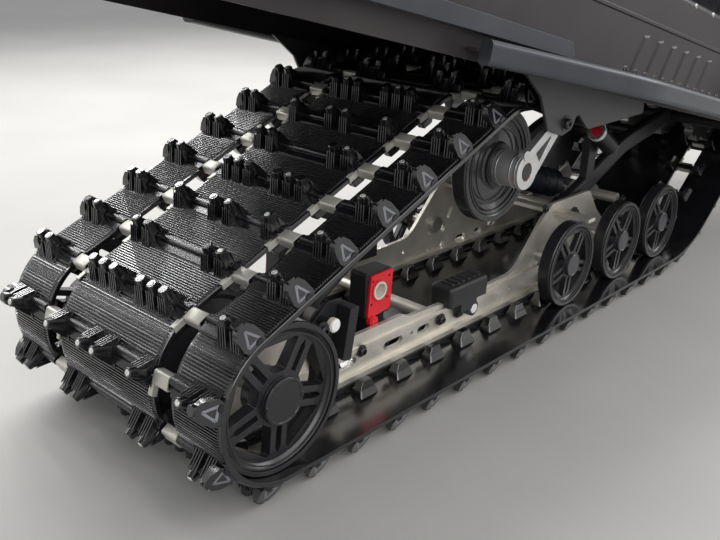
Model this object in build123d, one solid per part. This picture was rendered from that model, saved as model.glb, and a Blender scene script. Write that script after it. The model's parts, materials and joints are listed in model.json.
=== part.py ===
from build123d import *
import os
from math import asin, atan2, cos, degrees, hypot, pi, radians, sin, tan

# A wide-track utility snowmobile, in millimetres.
# +X points forward, +Y to the machine's left, +Z up, and it stands on Z = 0.
# The origin is under the middle of the overall length and width.
# Names ending in _ahead and _above are places seen from the rear axle.

fit = 0.3

# Track: a rubber loop of three belts, tied by a moulded bar at every pitch
track_pitch = 88.9
track_pitches = 44
track_half = 254.0
belt_t = 7.0
lug_h = 38.0
window_y = 135.6
window_w = 38.0
row_len = 36.0
row_rise = 7.0
tip_len = 12.0
tower_taper = 7.0
row_shift = 10.1
drive_lug_h = 24.0
drive_lug_w = 30.0
drive_lug_top = 18.0

# Skid: wheels that the belt runs round, and rails between them
rear_r = 108.0
rear_w = 44.0
inner_wheel_y = 62.0
inner_wheel_w = 24.0
upper_ahead = 500.0
upper_above = 229.0
upper_r = 95.0
upper_w = 28.0
bogie_aheads = (802.0, 1019.0, 1220.0)
bogie_r = 86.0
bogie_w = 27.0
axle_r = 12.0
axle_bore = 8.5
rail_y = 136.0
rail_web = 8.0
rail_foot_w = 27.0
rail_foot_h = 9.0
rib_out = 4.0
shoe_h = 11.0
shoe_w = 33.0
tie_r = 12.0
tip_ahead = 1240.0
tip_r = 260.0
tip_turn = 42.0
tip_beyond = 30.0

# Drive sprockets
sprocket_above = 205.0
sprocket_teeth = 7
sprocket_w = 22.0
drive_axle_r = 16.0

# Tunnel: a bent sheet whose foot line falls towards the front
tunnel_angle = 11.6
tunnel_gap = 28.0
tunnel_t = 3.0
tunnel_h = 200.0
tunnel_behind = 360.0
tunnel_ahead = 1725.0
board_ahead = 285.0
board_above = 435.0
board_w = 118.0
board_w_rear = 33.0
board_bend_ahead = 600.0
board_end_ahead = 1420.0
board_t = 4.0
edge_w = 24.0
edge_h = 34.0
bumper_reach = 80.0
bumper_r = 13.0
hitch_bore = 8.0
hitch_t = 8.0

# Front end
ski_y = 480.0
ski_ahead = 2110.0
ski_bolt_z = 118.0
ski_bolt_r = 8.0
caster = 15.0
leg_r = 17.0
ski_front = 640.0
ski_rear = 430.0
ski_w = 165.0
ski_t = 14.0
runner_h = 10.0
body_wall = 5.0
belly_wall = 6.0
pivot_y = 212.0
sleeve_len = 36.0
lug_t = 6.0
lug_bolt = 6.0

# Steering
post_ahead = 1450.0
post_z = 1040.0
post_tilt = 27.0
post_r = 16.0
post_gap = 5.0
post_down = 300.0
bar_r = 11.0
grip_y = 395.0
rod_arm = 90.0
rod_gap = 6.0

# Places worked out from the sizes above
floor_inner = belt_t + lug_h
rear_x = (tunnel_behind + bumper_reach - ski_ahead - ski_front) / 2
rear_z = floor_inner + rear_r
tunnel_half = track_half + tunnel_gap
rear_face = track_half - 16.0
wheel_face = track_half - 37.0
upper_x = rear_x + upper_ahead
upper_z = rear_z + upper_above
bogie_z = floor_inner + bogie_r
tip_x = rear_x + tip_ahead
tip_z = floor_inner + tip_r
sprocket_z = rear_z + sprocket_above
sprocket_r = sprocket_teeth * track_pitch / (2 * pi) - belt_t / 2
tunnel_rear = rear_x - tunnel_behind
tunnel_front = rear_x + tunnel_ahead
board_x = rear_x + board_ahead
board_out = tunnel_half + board_w
board_in = tunnel_half + board_w_rear
board_bend = rear_x + board_bend_ahead
board_end = rear_x + board_end_ahead
ski_x = rear_x + ski_ahead
post_x = rear_x + post_ahead
belt_half = window_y - window_w / 2
belt_edge = window_y + window_w / 2


def foot_z(x):
    """Height of the tunnel's foot line at x."""
    return rear_z + board_above - tan(radians(tunnel_angle)) * (x - board_x)


def at_axle(ahead, above):
    """World (x, z) of a place seen from the rear axle."""
    return rear_x + ahead, rear_z + above


def rounded_face(points):
    """A face in the XY plane from (x, y, corner radius) points."""
    corners = []
    count = len(points)
    for i, (x, y, r) in enumerate(points):
        p = Vector(x, y)
        a = (Vector(*points[i - 1][:2]) - p).normalized()
        b = (Vector(*points[(i + 1) % count][:2]) - p).normalized()
        if r <= 0:
            corners.append((p, p, p))
            continue
        half = a.get_angle(b) / 2
        reach = r / tan(radians(half))
        middle = (a + b).normalized()
        centre = p + middle * (r / sin(radians(half)))
        corners.append((p + a * reach, centre - middle * r, p + b * reach))
    edges = []
    for i, (start, mid, end) in enumerate(corners):
        if (end - start).length > 1e-6:
            edges.append(ThreePointArc(start, mid, end))
        following = corners[(i + 1) % count][0]
        if (following - end).length > 1e-6:
            edges.append(Line(end, following))
    return make_face(Wire(edges))


def plate(points, y0, y1):
    """A flat plate from (x, z, corner radius) points, between y0 and y1."""
    low, high = min(y0, y1), max(y0, y1)
    return extrude(Plane(origin=(0, high, 0), x_dir=(1, 0, 0), z_dir=(0, -1, 0)) * rounded_face(points), high - low)


def slab(points, z0, z1):
    """A flat plate from (x, y, corner radius) points, between z0 and z1."""
    return Pos(0, 0, z0) * extrude(rounded_face(points), z1 - z0)


def box(x0, x1, y0, y1, z0, z1):
    return Pos((x0 + x1) / 2, (y0 + y1) / 2, (z0 + z1) / 2) * Box(abs(x1 - x0), abs(y1 - y0), abs(z1 - z0))


def rod_y(x, z, r, y0, y1):
    """A round bar across the machine."""
    return Pos(x, (y0 + y1) / 2, z) * Cylinder(r, abs(y1 - y0), rotation=(90, 0, 0))


def bar(p, q, r):
    """A straight round bar from p to q."""
    p, q = Vector(*p), Vector(*q)
    return Plane(origin=(p + q) / 2, z_dir=q - p) * Cylinder(r, (q - p).length)


def tube(points, bend, r):
    """A bent round bar through points."""
    path = FilletPolyline(*points, radius=bend)
    return sweep(Plane(origin=path @ 0, z_dir=path % 0) * Circle(r), path=path)


def solids(*shapes):
    """One compound of all the solids of the shapes."""
    return Compound(children=[s for shape in shapes for s in shape.solids()])


def mirrored(*shapes):
    """The shapes and their mirror images across the middle plane."""
    return solids(*shapes, *[mirror(shape, about=Plane.XZ) for shape in shapes])


def tangent(c1, c2):
    """Outward unit normal of the belt's straight run from circle c1 to circle c2."""
    dx, dz = c2[0] - c1[0], c2[1] - c1[1]
    length = hypot(dx, dz)
    s = (c1[2] - c2[2]) / length
    c = (1 - s * s) ** 0.5
    ux, uz = dx / length, dz / length
    return c * uz + s * ux, -c * ux + s * uz


def loop_runs(drive_x, offset):
    """Arcs and straight runs of the loop, at a distance outside the belt's inner face."""
    circles = (
        (rear_x, rear_z, rear_r),
        (tip_x, tip_z, tip_r),
        (drive_x, sprocket_z, sprocket_r),
        (upper_x, upper_z, upper_r),
    )
    normals = [tangent(circles[i], circles[(i + 1) % 4]) for i in range(4)]
    runs = []
    for i, (cx, cz, r) in enumerate(circles):
        a0 = atan2(normals[i - 1][1], normals[i - 1][0])
        turn = (atan2(normals[i][1], normals[i][0]) - a0) % (2 * pi)
        r += offset
        runs.append(("arc", (cx, cz, r), a0, a0 + turn, r * turn))
        nx, nz = normals[i]
        jx, jz, jr = circles[(i + 1) % 4]
        jr += offset
        p, q = (cx + r * nx, cz + r * nz), (jx + jr * nx, jz + jr * nz)
        runs.append(("line", p, q, (nx, nz), hypot(q[0] - p[0], q[1] - p[1])))
    return runs


def solve_drive_x():
    """Where the drive axle sits so that the belt is a whole number of pitches long."""
    low, high = tip_x, tip_x + 900.0
    for _ in range(60):
        middle = (low + high) / 2
        if sum(run[4] for run in loop_runs(middle, belt_t / 2)) < track_pitches * track_pitch:
            low = middle
        else:
            high = middle
    return low


drive_x = solve_drive_x()
belt_runs = loop_runs(drive_x, belt_t / 2)


def loop_face(offset):
    """The area inside the loop at a distance outside the belt's inner face, in the plane Y = 0."""
    edges = []
    for kind, a, b, c, _ in loop_runs(drive_x, offset):
        if kind == "arc":
            cx, cz, r = a
            edges.append(ThreePointArc(*[(cx + r * cos(t), 0, cz + r * sin(t)) for t in (b, (b + c) / 2, c)]))
        else:
            edges.append(Line((a[0], 0, a[1]), (b[0], 0, b[1])))
    return make_face(Wire(edges))


def belt_plane(s):
    """A plane on the belt's middle line at distance s: local x to the right, y outward."""
    for kind, a, b, c, length in belt_runs:
        if s <= length:
            break
        s -= length
    if kind == "arc":
        cx, cz, r = a
        nx, nz = cos(b + s / r), sin(b + s / r)
        x, z = cx + r * nx, cz + r * nz
    else:
        nx, nz = c
        x, z = a[0] + (b[0] - a[0]) * s / length, a[1] + (b[1] - a[1]) * s / length
    return Plane(origin=(x, 0, z), x_dir=(0, -1, 0), z_dir=(-nz, 0, nx))


# The three kinds of row, as (from, to) of the towers on each side of the middle
row_kinds = (
    ((22.0, 95.0), (belt_edge + 40, track_half)),
    ((57.0, 114.0), (belt_edge + 40, track_half)),
    ((6.0, 34.0), (87.0, 114.0), (belt_edge + 40, track_half)),
)


def row_outline(towers):
    """One row's outline across the belt: a low bar with groups of tapering towers."""
    top, tip = belt_t / 2 + row_rise, belt_t / 2 + lug_h
    spans = sorted([(-b, -a) for a, b in towers] + list(towers))
    points = [(-track_half, 1 - belt_t / 2)]
    for a, b in spans:
        points += [(a, top), (a + tower_taper, tip), (b - tower_taper, tip), (b, top)]
    points.append((track_half, 1 - belt_t / 2))
    return make_face(Polyline(*points, close=True))


def lug_row(k):
    """One moulded row, thinner towards the tips, with its drive lugs on the inside."""
    row = extrude(row_outline(row_kinds[k % 3]), row_len / 2, both=True)
    foot, tip = 1 - belt_t / 2, belt_t / 2 + lug_h
    side = [(-row_len / 2, foot), (row_len / 2, foot), (tip_len / 2, tip), (-tip_len / 2, tip)]
    wedge = Plane.YZ * make_face(Polyline(*[(y, z) for z, y in side], close=True))
    row &= extrude(wedge, track_half + 5, both=True)
    lug = [
        (-row_len / 2, 0), (row_len / 2, 0), (drive_lug_top / 2, drive_lug_h), (-drive_lug_top / 2, drive_lug_h),
    ]
    fin = Plane.YZ * make_face(Polyline(*[(foot - y, z) for z, y in lug], close=True))
    start = belt_edge + 2
    for y in (start, -start - drive_lug_w):
        row += Pos(y, 0, 0) * extrude(fin, drive_lug_w)
    length = track_pitches * track_pitch
    return belt_plane((row_shift + k * track_pitch) % length) * row


def make_track():
    ring = loop_face(belt_t) - loop_face(0)
    middle = extrude(ring, amount=belt_half, dir=(0, 1, 0), both=True)
    outer = Pos(0, belt_edge, 0) * extrude(ring, amount=track_half - belt_edge, dir=(0, 1, 0))
    belts = [middle, outer, mirror(outer, about=Plane.XZ)]
    return belts[0].fuse(*belts[1:], *[lug_row(k) for k in range(track_pitches)])


def wheel(place, r, face, width, side, hub_r, pairs, tyre, corner=0.0):
    """A moulded wheel with pairs of spokes. Its outer face lies at face, on the given side."""
    rim = r - tyre
    shelf = rim * 0.93
    profile = [
        (axle_r + fit, 0), (hub_r, 0), (hub_r, width * 0.12), (shelf, width * 0.22), (rim, width * 0.06),
        (r - 1.5, width * 0.06), (r, width * 0.12), (r, width - 1.5), (r - 1.5, width), (shelf, width),
        (shelf, width * 0.6), (hub_r, width * 0.55), (hub_r, width), (axle_r + fit, width),
    ]
    body = revolve(make_face(Polyline(*[(p, 0, q) for p, q in profile], close=True)), Axis.Z)
    gap = 360 / pairs if pairs else 0
    spoke, slot = r * 0.135, r * 0.045
    inner, outer = hub_r * 1.18, shelf * 0.97
    for k in range(pairs):
        low, high = degrees(asin(spoke / inner)), degrees(asin(spoke / outer))
        corners = [(inner, low), (outer, high), (outer, gap - high), (inner, gap - low)]
        points = [(radius * cos(radians(a)), radius * sin(radians(a)), corner) for radius, a in corners]
        window = extrude(rounded_face(points), width)
        end = outer * 0.84
        groove = slab([(inner, -slot, 0), (end, -slot, 0), (outer * 0.96, 0, 0), (end, slot, 0), (inner, slot, 0)], 0, width)
        body -= Rot(0, 0, 90 + gap * k) * solids(window, groove)
    return Pos(place[0], side * face, place[1]) * (Rot(90 * side, 0, 0) * body)


def rear_wheel_set(side):
    outer = wheel((rear_x, rear_z), rear_r - fit, rear_face, rear_w, side, rear_r * 0.32, 5, 9, 4.0)
    inner = wheel((rear_x, rear_z), rear_r - fit, inner_wheel_y + inner_wheel_w, inner_wheel_w, side, 28, 0, 9)
    return outer, inner


def make_rear_wheels():
    return solids(*rear_wheel_set(-1), *rear_wheel_set(1))


def bogie_places():
    return [(rear_x + ahead, bogie_z + fit) for ahead in bogie_aheads]


def make_bogie_wheels():
    wheels = [
        wheel(place, bogie_r, wheel_face, bogie_w, side, bogie_r * 0.27, 5, 9)
        for side in (-1, 1) for place in bogie_places()
    ]
    return solids(*wheels)


def upper_wheel(side):
    """A solid dished wheel."""
    r, w = upper_r - fit, upper_w
    profile = [
        (axle_r + fit, -3), (34, -3), (34, 3), (40, 7), (r * 0.7, 9), (r * 0.86, 2), (r * 0.9, 0), (r - 3, 0), (r, 3),
        (r, w - 2), (r - 2, w), (r * 0.86, w), (r * 0.8, 16), (36, 16), (36, w), (axle_r + fit, w),
    ]
    body = revolve(make_face(Polyline(*[(p, 0, q) for p, q in profile], close=True)), Axis.Z)
    return Pos(upper_x, side * wheel_face, upper_z) * (Rot(90 * side, 0, 0) * body)


def hollow_axle(x, z, y0, y1):
    return rod_y(x, z, axle_r, y0, y1) - rod_y(x, z, axle_bore, y0 - 1, y1 + 1)


def hub_cap(x, z, r, face, side):
    """A round cap that closes a wheel's hub."""
    return rod_y(x, z, r, side * (face + fit), side * (face + 3))


def make_rear_axle():
    caps = [hub_cap(rear_x, rear_z, rear_r * 0.27, rear_face, side) for side in (-1, 1)]
    axle = rod_y(rear_x, rear_z, axle_r, -rear_face - 1, rear_face + 1)
    return axle + caps[0] + caps[1]


def make_bogie_axles():
    stubs = []
    for x, z in bogie_places():
        stub = rod_y(x, z, axle_r, rail_y - rail_web / 2 - 12, wheel_face + 1)
        stub += rod_y(x, z, axle_r + 6, rail_y - rail_web / 2 - 12, rail_y - rail_web / 2 - fit)
        stubs.append(stub + hub_cap(x, z, bogie_r * 0.23, wheel_face, 1))
    return mirrored(*stubs)


def rail_points():
    """The rail's side view, as (ahead, above, corner radius)."""
    low = shoe_h - rear_r
    r = tip_r - shoe_h
    slope = radians(tip_turn)
    corner = tip_ahead + r * tan(slope / 2)
    end = tip_ahead + r * sin(slope) + tip_beyond * cos(slope), low + r * (1 - cos(slope)) + tip_beyond * sin(slope)
    depth = 46
    top = end[0] - depth * sin(slope), end[1] + depth * cos(slope)
    return [
        (-34, low + 26, 10), (-34, 32, 16), (120, 32, 20), (205, 20, 8), (231, -23, 6), (368, -23, 3), (386, -31, 3),
        (607, -39, 90), (716, -36, 70), (800, 52, 50), (838, 80, 14), (992, 80, 16), (1034, 30, 40),
        (1110, -34, 50), (1230, -40, 150), (top[0], top[1], 4), (end[0], end[1], 4), (corner, low, r), (-8, low, 6),
    ]


# Openings in the rail's web: (ahead, above, length, height), and round ones: (ahead, above, radius)
rail_slots = (
    (222, -68, 62, 15), (345, -68, 50, 15), (427, -68, 34, 15), (912, -80, 38, 17), (982, -79, 30, 17),
    (1040, -70, 34, 17), (862, -6, 12, 30),
)
rail_holes = (
    (395, -66, 4), (840, -40, 9), (841, -80, 9), (788, -42, 4), (806, -41, 4), (787, -82, 4), (804, -82, 4),
    (950, -30, 12), (700, -66, 4),
)


def make_rails():
    inside, outside = rail_y - rail_web / 2, rail_y + rail_web / 2
    points = [(*at_axle(ahead, above), r) for ahead, above, r in rail_points()]
    rail = plate(points, inside, outside)
    low = floor_inner + shoe_h
    foot_start, rib_start, rib_end = rear_x + 5, rear_x + 60, rear_x + 1130
    rail += box(foot_start, tip_x, rail_y - rail_foot_w / 2, rail_y + rail_foot_w / 2, low, low + rail_foot_h)
    rib_z = rear_z - 52
    rail += box(rib_start, rib_end, rail_y, outside + rib_out, rib_z, rib_z + 8)
    for ahead, above, length, height in rail_slots:
        x, z = at_axle(ahead, above)
        slot = extrude(SlotOverall(max(length, height + 0.1), min(height, length)), 40, both=True)
        if height > length:
            slot = extrude(Rot(0, 0, 65) * SlotOverall(height, length), 40, both=True)
        rail -= Pos(x, rail_y, z) * (Rot(90, 0, 0) * slot)
    for ahead, above, r in rail_holes:
        x, z = at_axle(ahead, above)
        rail -= rod_y(x, z, r, inside - 8, outside + 8)
    pivots = [(rear_x, rear_z), *bogie_places()]
    for x, z in pivots:
        rail -= rod_y(x, z, axle_r + fit, inside - 8, outside + 8)
    x, z = at_axle(*tie_bar)
    rail -= box(x - tie_bar_w / 2 - fit, x + tie_bar_w / 2 + fit, 0, 300, z - 4 - fit, z + 4 + fit)
    return mirrored(rail)


# Round ties between the rails, and the flat bar that passes through their humps
tie_places = ((165, 33), (471, -62), (925, 45), (1150, 30), (1235, -62))
tie_bar = (856.0, 60.0)
tie_bar_w = 26.0


def make_rail_ties():
    half = rail_y - rail_web / 2 - fit
    ties = [rod_y(*at_axle(*place), tie_r, -half, half) for place in tie_places]
    x, z = at_axle(*tie_bar)
    flat = box(x - tie_bar_w / 2, x + tie_bar_w / 2, -wheel_face - 3, wheel_face + 3, z - 4, z + 4)
    return solids(*ties, flat)


def make_slide_shoes():
    """Plastic strips under the rails, up round their curved tips."""
    slope = radians(tip_turn)
    r_out, r_in = tip_r - fit, tip_r - shoe_h + fit
    start = rear_x + 12
    edge = [
        Line((start, tip_z - r_out), (tip_x, tip_z - r_out)),
        ThreePointArc(*[(tip_x + r_out * sin(a), tip_z - r_out * cos(a)) for a in (0, slope / 2, slope)]),
        Line((tip_x + r_out * sin(slope), tip_z - r_out * cos(slope)), (tip_x + r_in * sin(slope), tip_z - r_in * cos(slope))),
        ThreePointArc(*[(tip_x + r_in * sin(a), tip_z - r_in * cos(a)) for a in (slope, slope / 2, 0)]),
        Line((tip_x, tip_z - r_in), (start, tip_z - r_in)),
        Line((start, tip_z - r_in), (start, tip_z - r_out)),
    ]
    face = Plane(origin=(0, rail_y + shoe_w / 2, 0), x_dir=(1, 0, 0), z_dir=(0, -1, 0)) * make_face(Wire(edge))
    return mirrored(extrude(face, shoe_w))


def make_rail_stops():
    """Moulded blocks that straddle the rails' top edges."""
    x0, x1 = rear_x + 476, rear_x + 592
    top, low = rear_z - 2, rear_z - 58
    half = 24
    block = box(x0, x1, rail_y - half, rail_y + half, top - 38, top)
    block = fillet(block.edges().filter_by(Axis.X).group_by(Axis.Z)[-1], 8)
    block = fillet(block.edges().filter_by(Axis.Z), 7)
    block += box(x0 + 34, x1 - 34, rail_y + 10, rail_y + half, low, top - 30)
    x_knob = x1 - 40
    block += rod_y(x_knob, low - 2, 15, rail_y + rail_web / 2 + rib_out + fit, rail_y + half - 2)
    slope = 8 / 220
    rise = [(x0 - 40, 0), (x1 + 40, 0), (x1 + 40, 1), (x0 - 40, 1)]
    rail_top = [rear_z - 31 - slope * (x - rear_x - 386) + fit for x, _ in rise[:2]]
    gap = [(x0 - 40, low - 60, 0), (x1 + 40, low - 60, 0), (x1 + 40, rail_top[1], 0), (x0 - 40, rail_top[0], 0)]
    return mirrored(block - plate(gap, rail_y - rail_web / 2 - fit, rail_y + rail_web / 2 + rib_out + fit))


coupling = (323.0, 26.0)


def make_coupling_blocks():
    """Black housings inside the rails that carry the red plates."""
    x, z = at_axle(*coupling)
    inner_face = rail_y - rail_web / 2
    block = box(x - 32, x + 32, inner_face - 46, inner_face - 12, z - 42, z + 38)
    block = fillet(block.edges().filter_by(Axis.Y), 6)
    block += box(x - 22, x + 22, inner_face - 30, inner_face - fit, z - 92, z - 56) + box(
        x - 22, x + 22, inner_face - 40, inner_face - 16, z - 92, z - 30)
    return mirrored(block - rod_y(x - 3, z + 5, 16, 0, 400))


def make_coupling_plates():
    x, z = at_axle(*coupling)
    y = rail_y - rail_web / 2 - 12 + fit
    face = plate([(x - 30, z - 40, 5), (x + 26, z - 34, 5), (x + 30, z + 36, 5), (x - 24, z + 34, 5)], y, y + 5)
    for dx, dz in ((-20, 24), (20, 26), (-22, -16), (17, -12)):
        face -= rod_y(x + dx, z + dz, 2.5, y - 1, y + 6)
    pin = rod_y(x - 18, z - 46, 10, y, y + 9)
    return mirrored(face - rod_y(x - 3, z + 5, 16, 0, 400) + pin)


def make_bushings():
    """Pale sleeves in the coupling plates, and the caps of the rails' brackets."""
    x, z = at_axle(*coupling)
    y = rail_y - rail_web / 2
    sleeve = rod_y(x - 3, z + 5, 16 - fit, y - 44, y - 4) - rod_y(x - 3, z + 5, 12, 0, 400)
    bx, bz = at_axle(160, 36)
    cap = rod_y(bx, bz, 11, rail_y + 34 + fit, rail_y + 42)
    return mirrored(sleeve, cap)


def make_rail_brackets():
    """Black pressed brackets on the outside of the rails' rear ends."""
    y = rail_y + rail_web / 2 + rib_out + fit
    x, z = at_axle(139, 5)
    back = plate([(x, z - 38, 6), (x + 52, z - 44, 6), (x + 73, z + 50, 10), (x + 34, z + 56, 10), (x, z + 30, 8)],
                 y, y + 5)
    flange = plate([(x + 40, z - 34, 3), (x + 58, z - 38, 3), (x + 73, z + 48, 3), (x + 54, z + 48, 3)], y + 4, y + 34)
    bx, bz = at_axle(160, 36)
    stem = rod_y(bx, bz, 9, y, rail_y + 34)
    pad = box(x + 6, x + 52, rail_y + rail_web / 2 + fit, y + 1, rear_z - 44 + fit, rear_z - 6)
    return mirrored(back + pad + flange + stem)


def make_rear_arm():
    """The black swing arm from the rails' rear tie to the upper axle."""
    foot, head = at_axle(*tie_places[0]), (upper_x, upper_z)
    y = inner_wheel_y + inner_wheel_w + 16
    leg = bar((foot[0], y, foot[1]), (head[0], y, head[1]), 14)
    for x, z in (foot, head):
        leg += rod_y(x, z, 26, y - 16, y + 16)
    leg -= rod_y(*foot, tie_r + fit, 0, 400)
    leg -= rod_y(*head, axle_r + fit, 0, 400)
    crank = at_axle(*shock_crank)
    leg += plate([(head[0], head[1] + 20, 0), (crank[0], crank[1] + 16, 10), (crank[0] + 14, crank[1] - 14, 10),
                  (head[0], head[1] - 20, 0)], y - 5, y + 5) - rod_y(*head, axle_r + fit, 0, 400)
    mid = ((foot[0] + head[0]) / 2, (foot[1] + head[1]) / 2)
    return leg + mirror(leg, about=Plane.XZ) + rod_y(*mid, 13, -y, y) + rod_y(*crank, shock_pin_r, -y, y)


shock_crank = (585.0, 200.0)
shock_pin_r = 9.0
arm_head = (1405.0, 190.0)
arm_knee = (1180.0, 150.0)
arm_y = 110.0
arm_w = 22.0


def make_front_arm():
    """The curved pressed arm from the tunnel down to the rails."""
    head, knee, foot = at_axle(*arm_head), at_axle(*arm_knee), at_axle(*tie_places[2])
    y = arm_y
    path = FilletPolyline((head[0], y, head[1]), (knee[0], y, knee[1]), (foot[0], y, foot[1]), radius=260)
    start = Plane(origin=path @ 0, x_dir=(0, 1, 0), z_dir=path % 0)
    leg = sweep(start * RectangleRounded(arm_w, 44, 8), path=path)
    leg += rod_y(*foot, 24, y - 14, y + 14)
    leg += rod_y(*head, 24, y - 14, y + 14)
    leg -= rod_y(*foot, tie_r + fit, 0, 400)
    pin = rod_y(*head, tie_r, -tunnel_half + tunnel_t + fit, tunnel_half - tunnel_t - fit)
    cross = rod_y(*at_axle(*shock_top), tie_r, -y, y)
    x, z = (reservoir[0][0] + reservoir[1][0]) / 2, (reservoir[0][1] + reservoir[1][1]) / 2
    x, z = at_axle(x, z)
    strap = plate([(x - 16, z - 110, 0), (x + 16, z - 110, 0), (x + 16, z + 6, 6), (x - 16, z + 6, 6)],
                  arm_w / 2 - arm_y - 4, -arm_y - arm_w / 2)
    return leg + mirror(leg, about=Plane.XZ) + strap + pin + cross


shock_top = (1300.0, 160.0)

# The damper's gas reservoir, strapped to the outside of the right front arm
reservoir = ((981.0, 211.0), (1057.0, 166.0))
reservoir_r = 19.0

# Dampers: the upper eye (ahead, above), its pin radius, the lower eye, its pin radius, and the body's radius
damper_table = (
    (shock_crank, shock_pin_r, tie_places[3], tie_r, 21.0),
    (shock_top, tie_r, tie_places[4], tie_r, 17.0),
)


def make_dampers():
    parts = []
    for top, top_r, low, low_r, r in damper_table:
        top, low = at_axle(*top), at_axle(*low)
        a, b = Vector(top[0], 0, top[1]), Vector(low[0], 0, low[1])
        along = (b - a).normalized()
        waist = a + (b - a) * 0.55
        damper = bar(a + along * 14, waist, r) + bar(waist - along, b - along * 14, r * 0.45)
        damper += rod_y(*top, top_r + 9, -16, 16) + rod_y(*low, low_r + 9, -16, 16)
        damper -= rod_y(*top, top_r + fit, -40, 40)
        damper -= rod_y(*low, low_r + fit, -40, 40)
        parts.append(damper)
    (x0, z0), (x1, z1) = at_axle(*reservoir[0]), at_axle(*reservoir[1])
    y = -arm_y - arm_w / 2 - reservoir_r - fit
    parts.append(bar((x0, y, z0), (x1, y, z1), reservoir_r))
    for side in (-1, 1):
        top, low = shock_ends(side)
        shock = bar(top, top + (low - top) * 0.6, front_shock_r) + bar(top, low, 8)
        for end in (top, low):
            shock += Pos(*end) * Cylinder(shock_eye_r, shock_eye_w, rotation=(0, 90, 0))
            shock -= Pos(*end) * Cylinder(shock_pin + fit, 60, rotation=(0, 90, 0))
        parts.append(shock)
    return solids(*parts)


def bellows(a, b, r, start, end, turns):
    """A ribbed sleeve over a share of the way from a to b, with room for a damper of radius r inside."""
    length = (b - a).length * (end - start)
    step = length / turns
    outside = [(r + 12 if i % 2 else r + 7, i * step / 2) for i in range(2 * turns + 1)]
    points = [(r + fit, 0), *outside, (r + fit, length)]
    face = make_face(Polyline(*[(p, 0, q) for p, q in points], close=True))
    return Plane(origin=a + (b - a) * start, z_dir=b - a) * revolve(face, Axis.Z)


def make_springs():
    sleeves = []
    for (top, _, low, _, r), turns in zip(damper_table, (10, 5)):
        (x0, z0), (x1, z1) = at_axle(*top), at_axle(*low)
        sleeves.append(bellows(Vector(x0, 0, z0), Vector(x1, 0, z1), r, 0.12, 0.86, turns))
    for side in (-1, 1):
        sleeves.append(bellows(*shock_ends(side), front_shock_r, 0.12, 0.84, 6))
    return solids(*sleeves)


def sprocket(y):
    """A drive sprocket with rounded notches between its teeth."""
    r = sprocket_r - 0.5
    disc = rod_y(drive_x, sprocket_z, r, y - sprocket_w / 2, y + sprocket_w / 2)
    for k in range(2 * sprocket_teeth):
        a = pi * (k + 0.5) / sprocket_teeth
        x, z = drive_x + (r + 4) * cos(a), sprocket_z + (r + 4) * sin(a)
        disc -= rod_y(x, z, 13, y - sprocket_w, y + sprocket_w)
    return disc


def make_drive_axle():
    reach = tunnel_half - tunnel_t - fit
    axle = rod_y(drive_x, sprocket_z, drive_axle_r, -reach, reach)
    for y in (-window_y, -40, 40, window_y):
        axle += sprocket(y)
    return axle


# Tunnel


def side_outline(x0, x1, low, high):
    """Corners of a strip along the foot line, from low to high above it."""
    return [(x0, foot_z(x0) + low, 0), (x1, foot_z(x1) + low, 0), (x1, foot_z(x1) + high, 0), (x0, foot_z(x0) + high, 0)]


def make_tunnel():
    """A sheet bent over the track, deeper at the front where the drive axle sits, with its front wall."""
    step = board_end - 45
    outer = [
        (tunnel_rear, foot_z(tunnel_rear) - 12, 14), (step, foot_z(step) - 12, 0), (board_end, foot_z(board_end) - 60, 0),
        (tunnel_front, foot_z(tunnel_front) - 90, 0), (tunnel_front, foot_z(tunnel_front) + tunnel_h, 30),
        (tunnel_rear, foot_z(tunnel_rear) + tunnel_h, 0),
    ]
    back, front = tunnel_rear - 20, tunnel_front - tunnel_t
    room = [
        (back, foot_z(back) - 300, 0), (front, foot_z(back) - 900, 0),
        (front, foot_z(front) + tunnel_h - tunnel_t, 27), (back, foot_z(back) + tunnel_h - tunnel_t, 0),
    ]
    shell = plate(outer, -tunnel_half, tunnel_half)
    shell = fillet(shell.edges().filter_by(lambda e: abs(e.tangent_at(0.5).Y) < 0.01
                                           and e.center().Z > foot_z(e.center().X) + tunnel_h - 8
                                           and e.length > 500), 12)
    inner = plate(room, -tunnel_half + tunnel_t, tunnel_half - tunnel_t)
    inner = fillet(inner.edges().filter_by(lambda e: abs(e.tangent_at(0.5).Y) < 0.01
                                           and e.center().Z > foot_z(e.center().X) + tunnel_h - 12
                                           and e.length > 500), 9)
    return shell - inner - rod_y(*at_axle(*arm_head), 9, -400, 400)


def make_boards():
    """Running boards between the tunnel's walls and the edge bars, with rows of grip holes."""
    wall = tunnel_half + fit
    inset = edge_w / 2
    points = [
        (board_x, wall, 0), (board_end, wall, 0), (board_end, board_out - inset - fit, 0),
        (board_bend, board_out - inset - 5, 0), (board_x, board_in - inset - 0.5 - fit, 0),
    ]
    sheet = plate([(x, z + 4, r) for x, z, r in side_outline(board_x - 50, board_end + 50, -board_t, 0)], 0, 900)
    board = slab(points, 0, 1500) & sheet
    pitch = 55
    for k in range(14):
        x = board_bend + 30 + k * pitch
        for y in (wall + 35, wall + 78):
            board -= Pos(x, y, foot_z(x) - 30) * extrude(RegularPolygon(13, 4), 60)
    return mirrored(board)


def make_board_edges():
    """Round-edged bars along the running boards, bent in towards the tunnel at the rear."""
    rear = (board_x, board_in, foot_z(board_x))
    bend = (board_bend, board_out, foot_z(board_bend))
    front = (board_end, board_out, foot_z(board_end))
    path = FilletPolyline(rear, bend, front, radius=400)
    section = Plane(origin=path @ 0, x_dir=(0, 1, 0), z_dir=path % 0) * RectangleRounded(edge_w, edge_h, 9)
    return mirrored(sweep(section, path=path))


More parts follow.
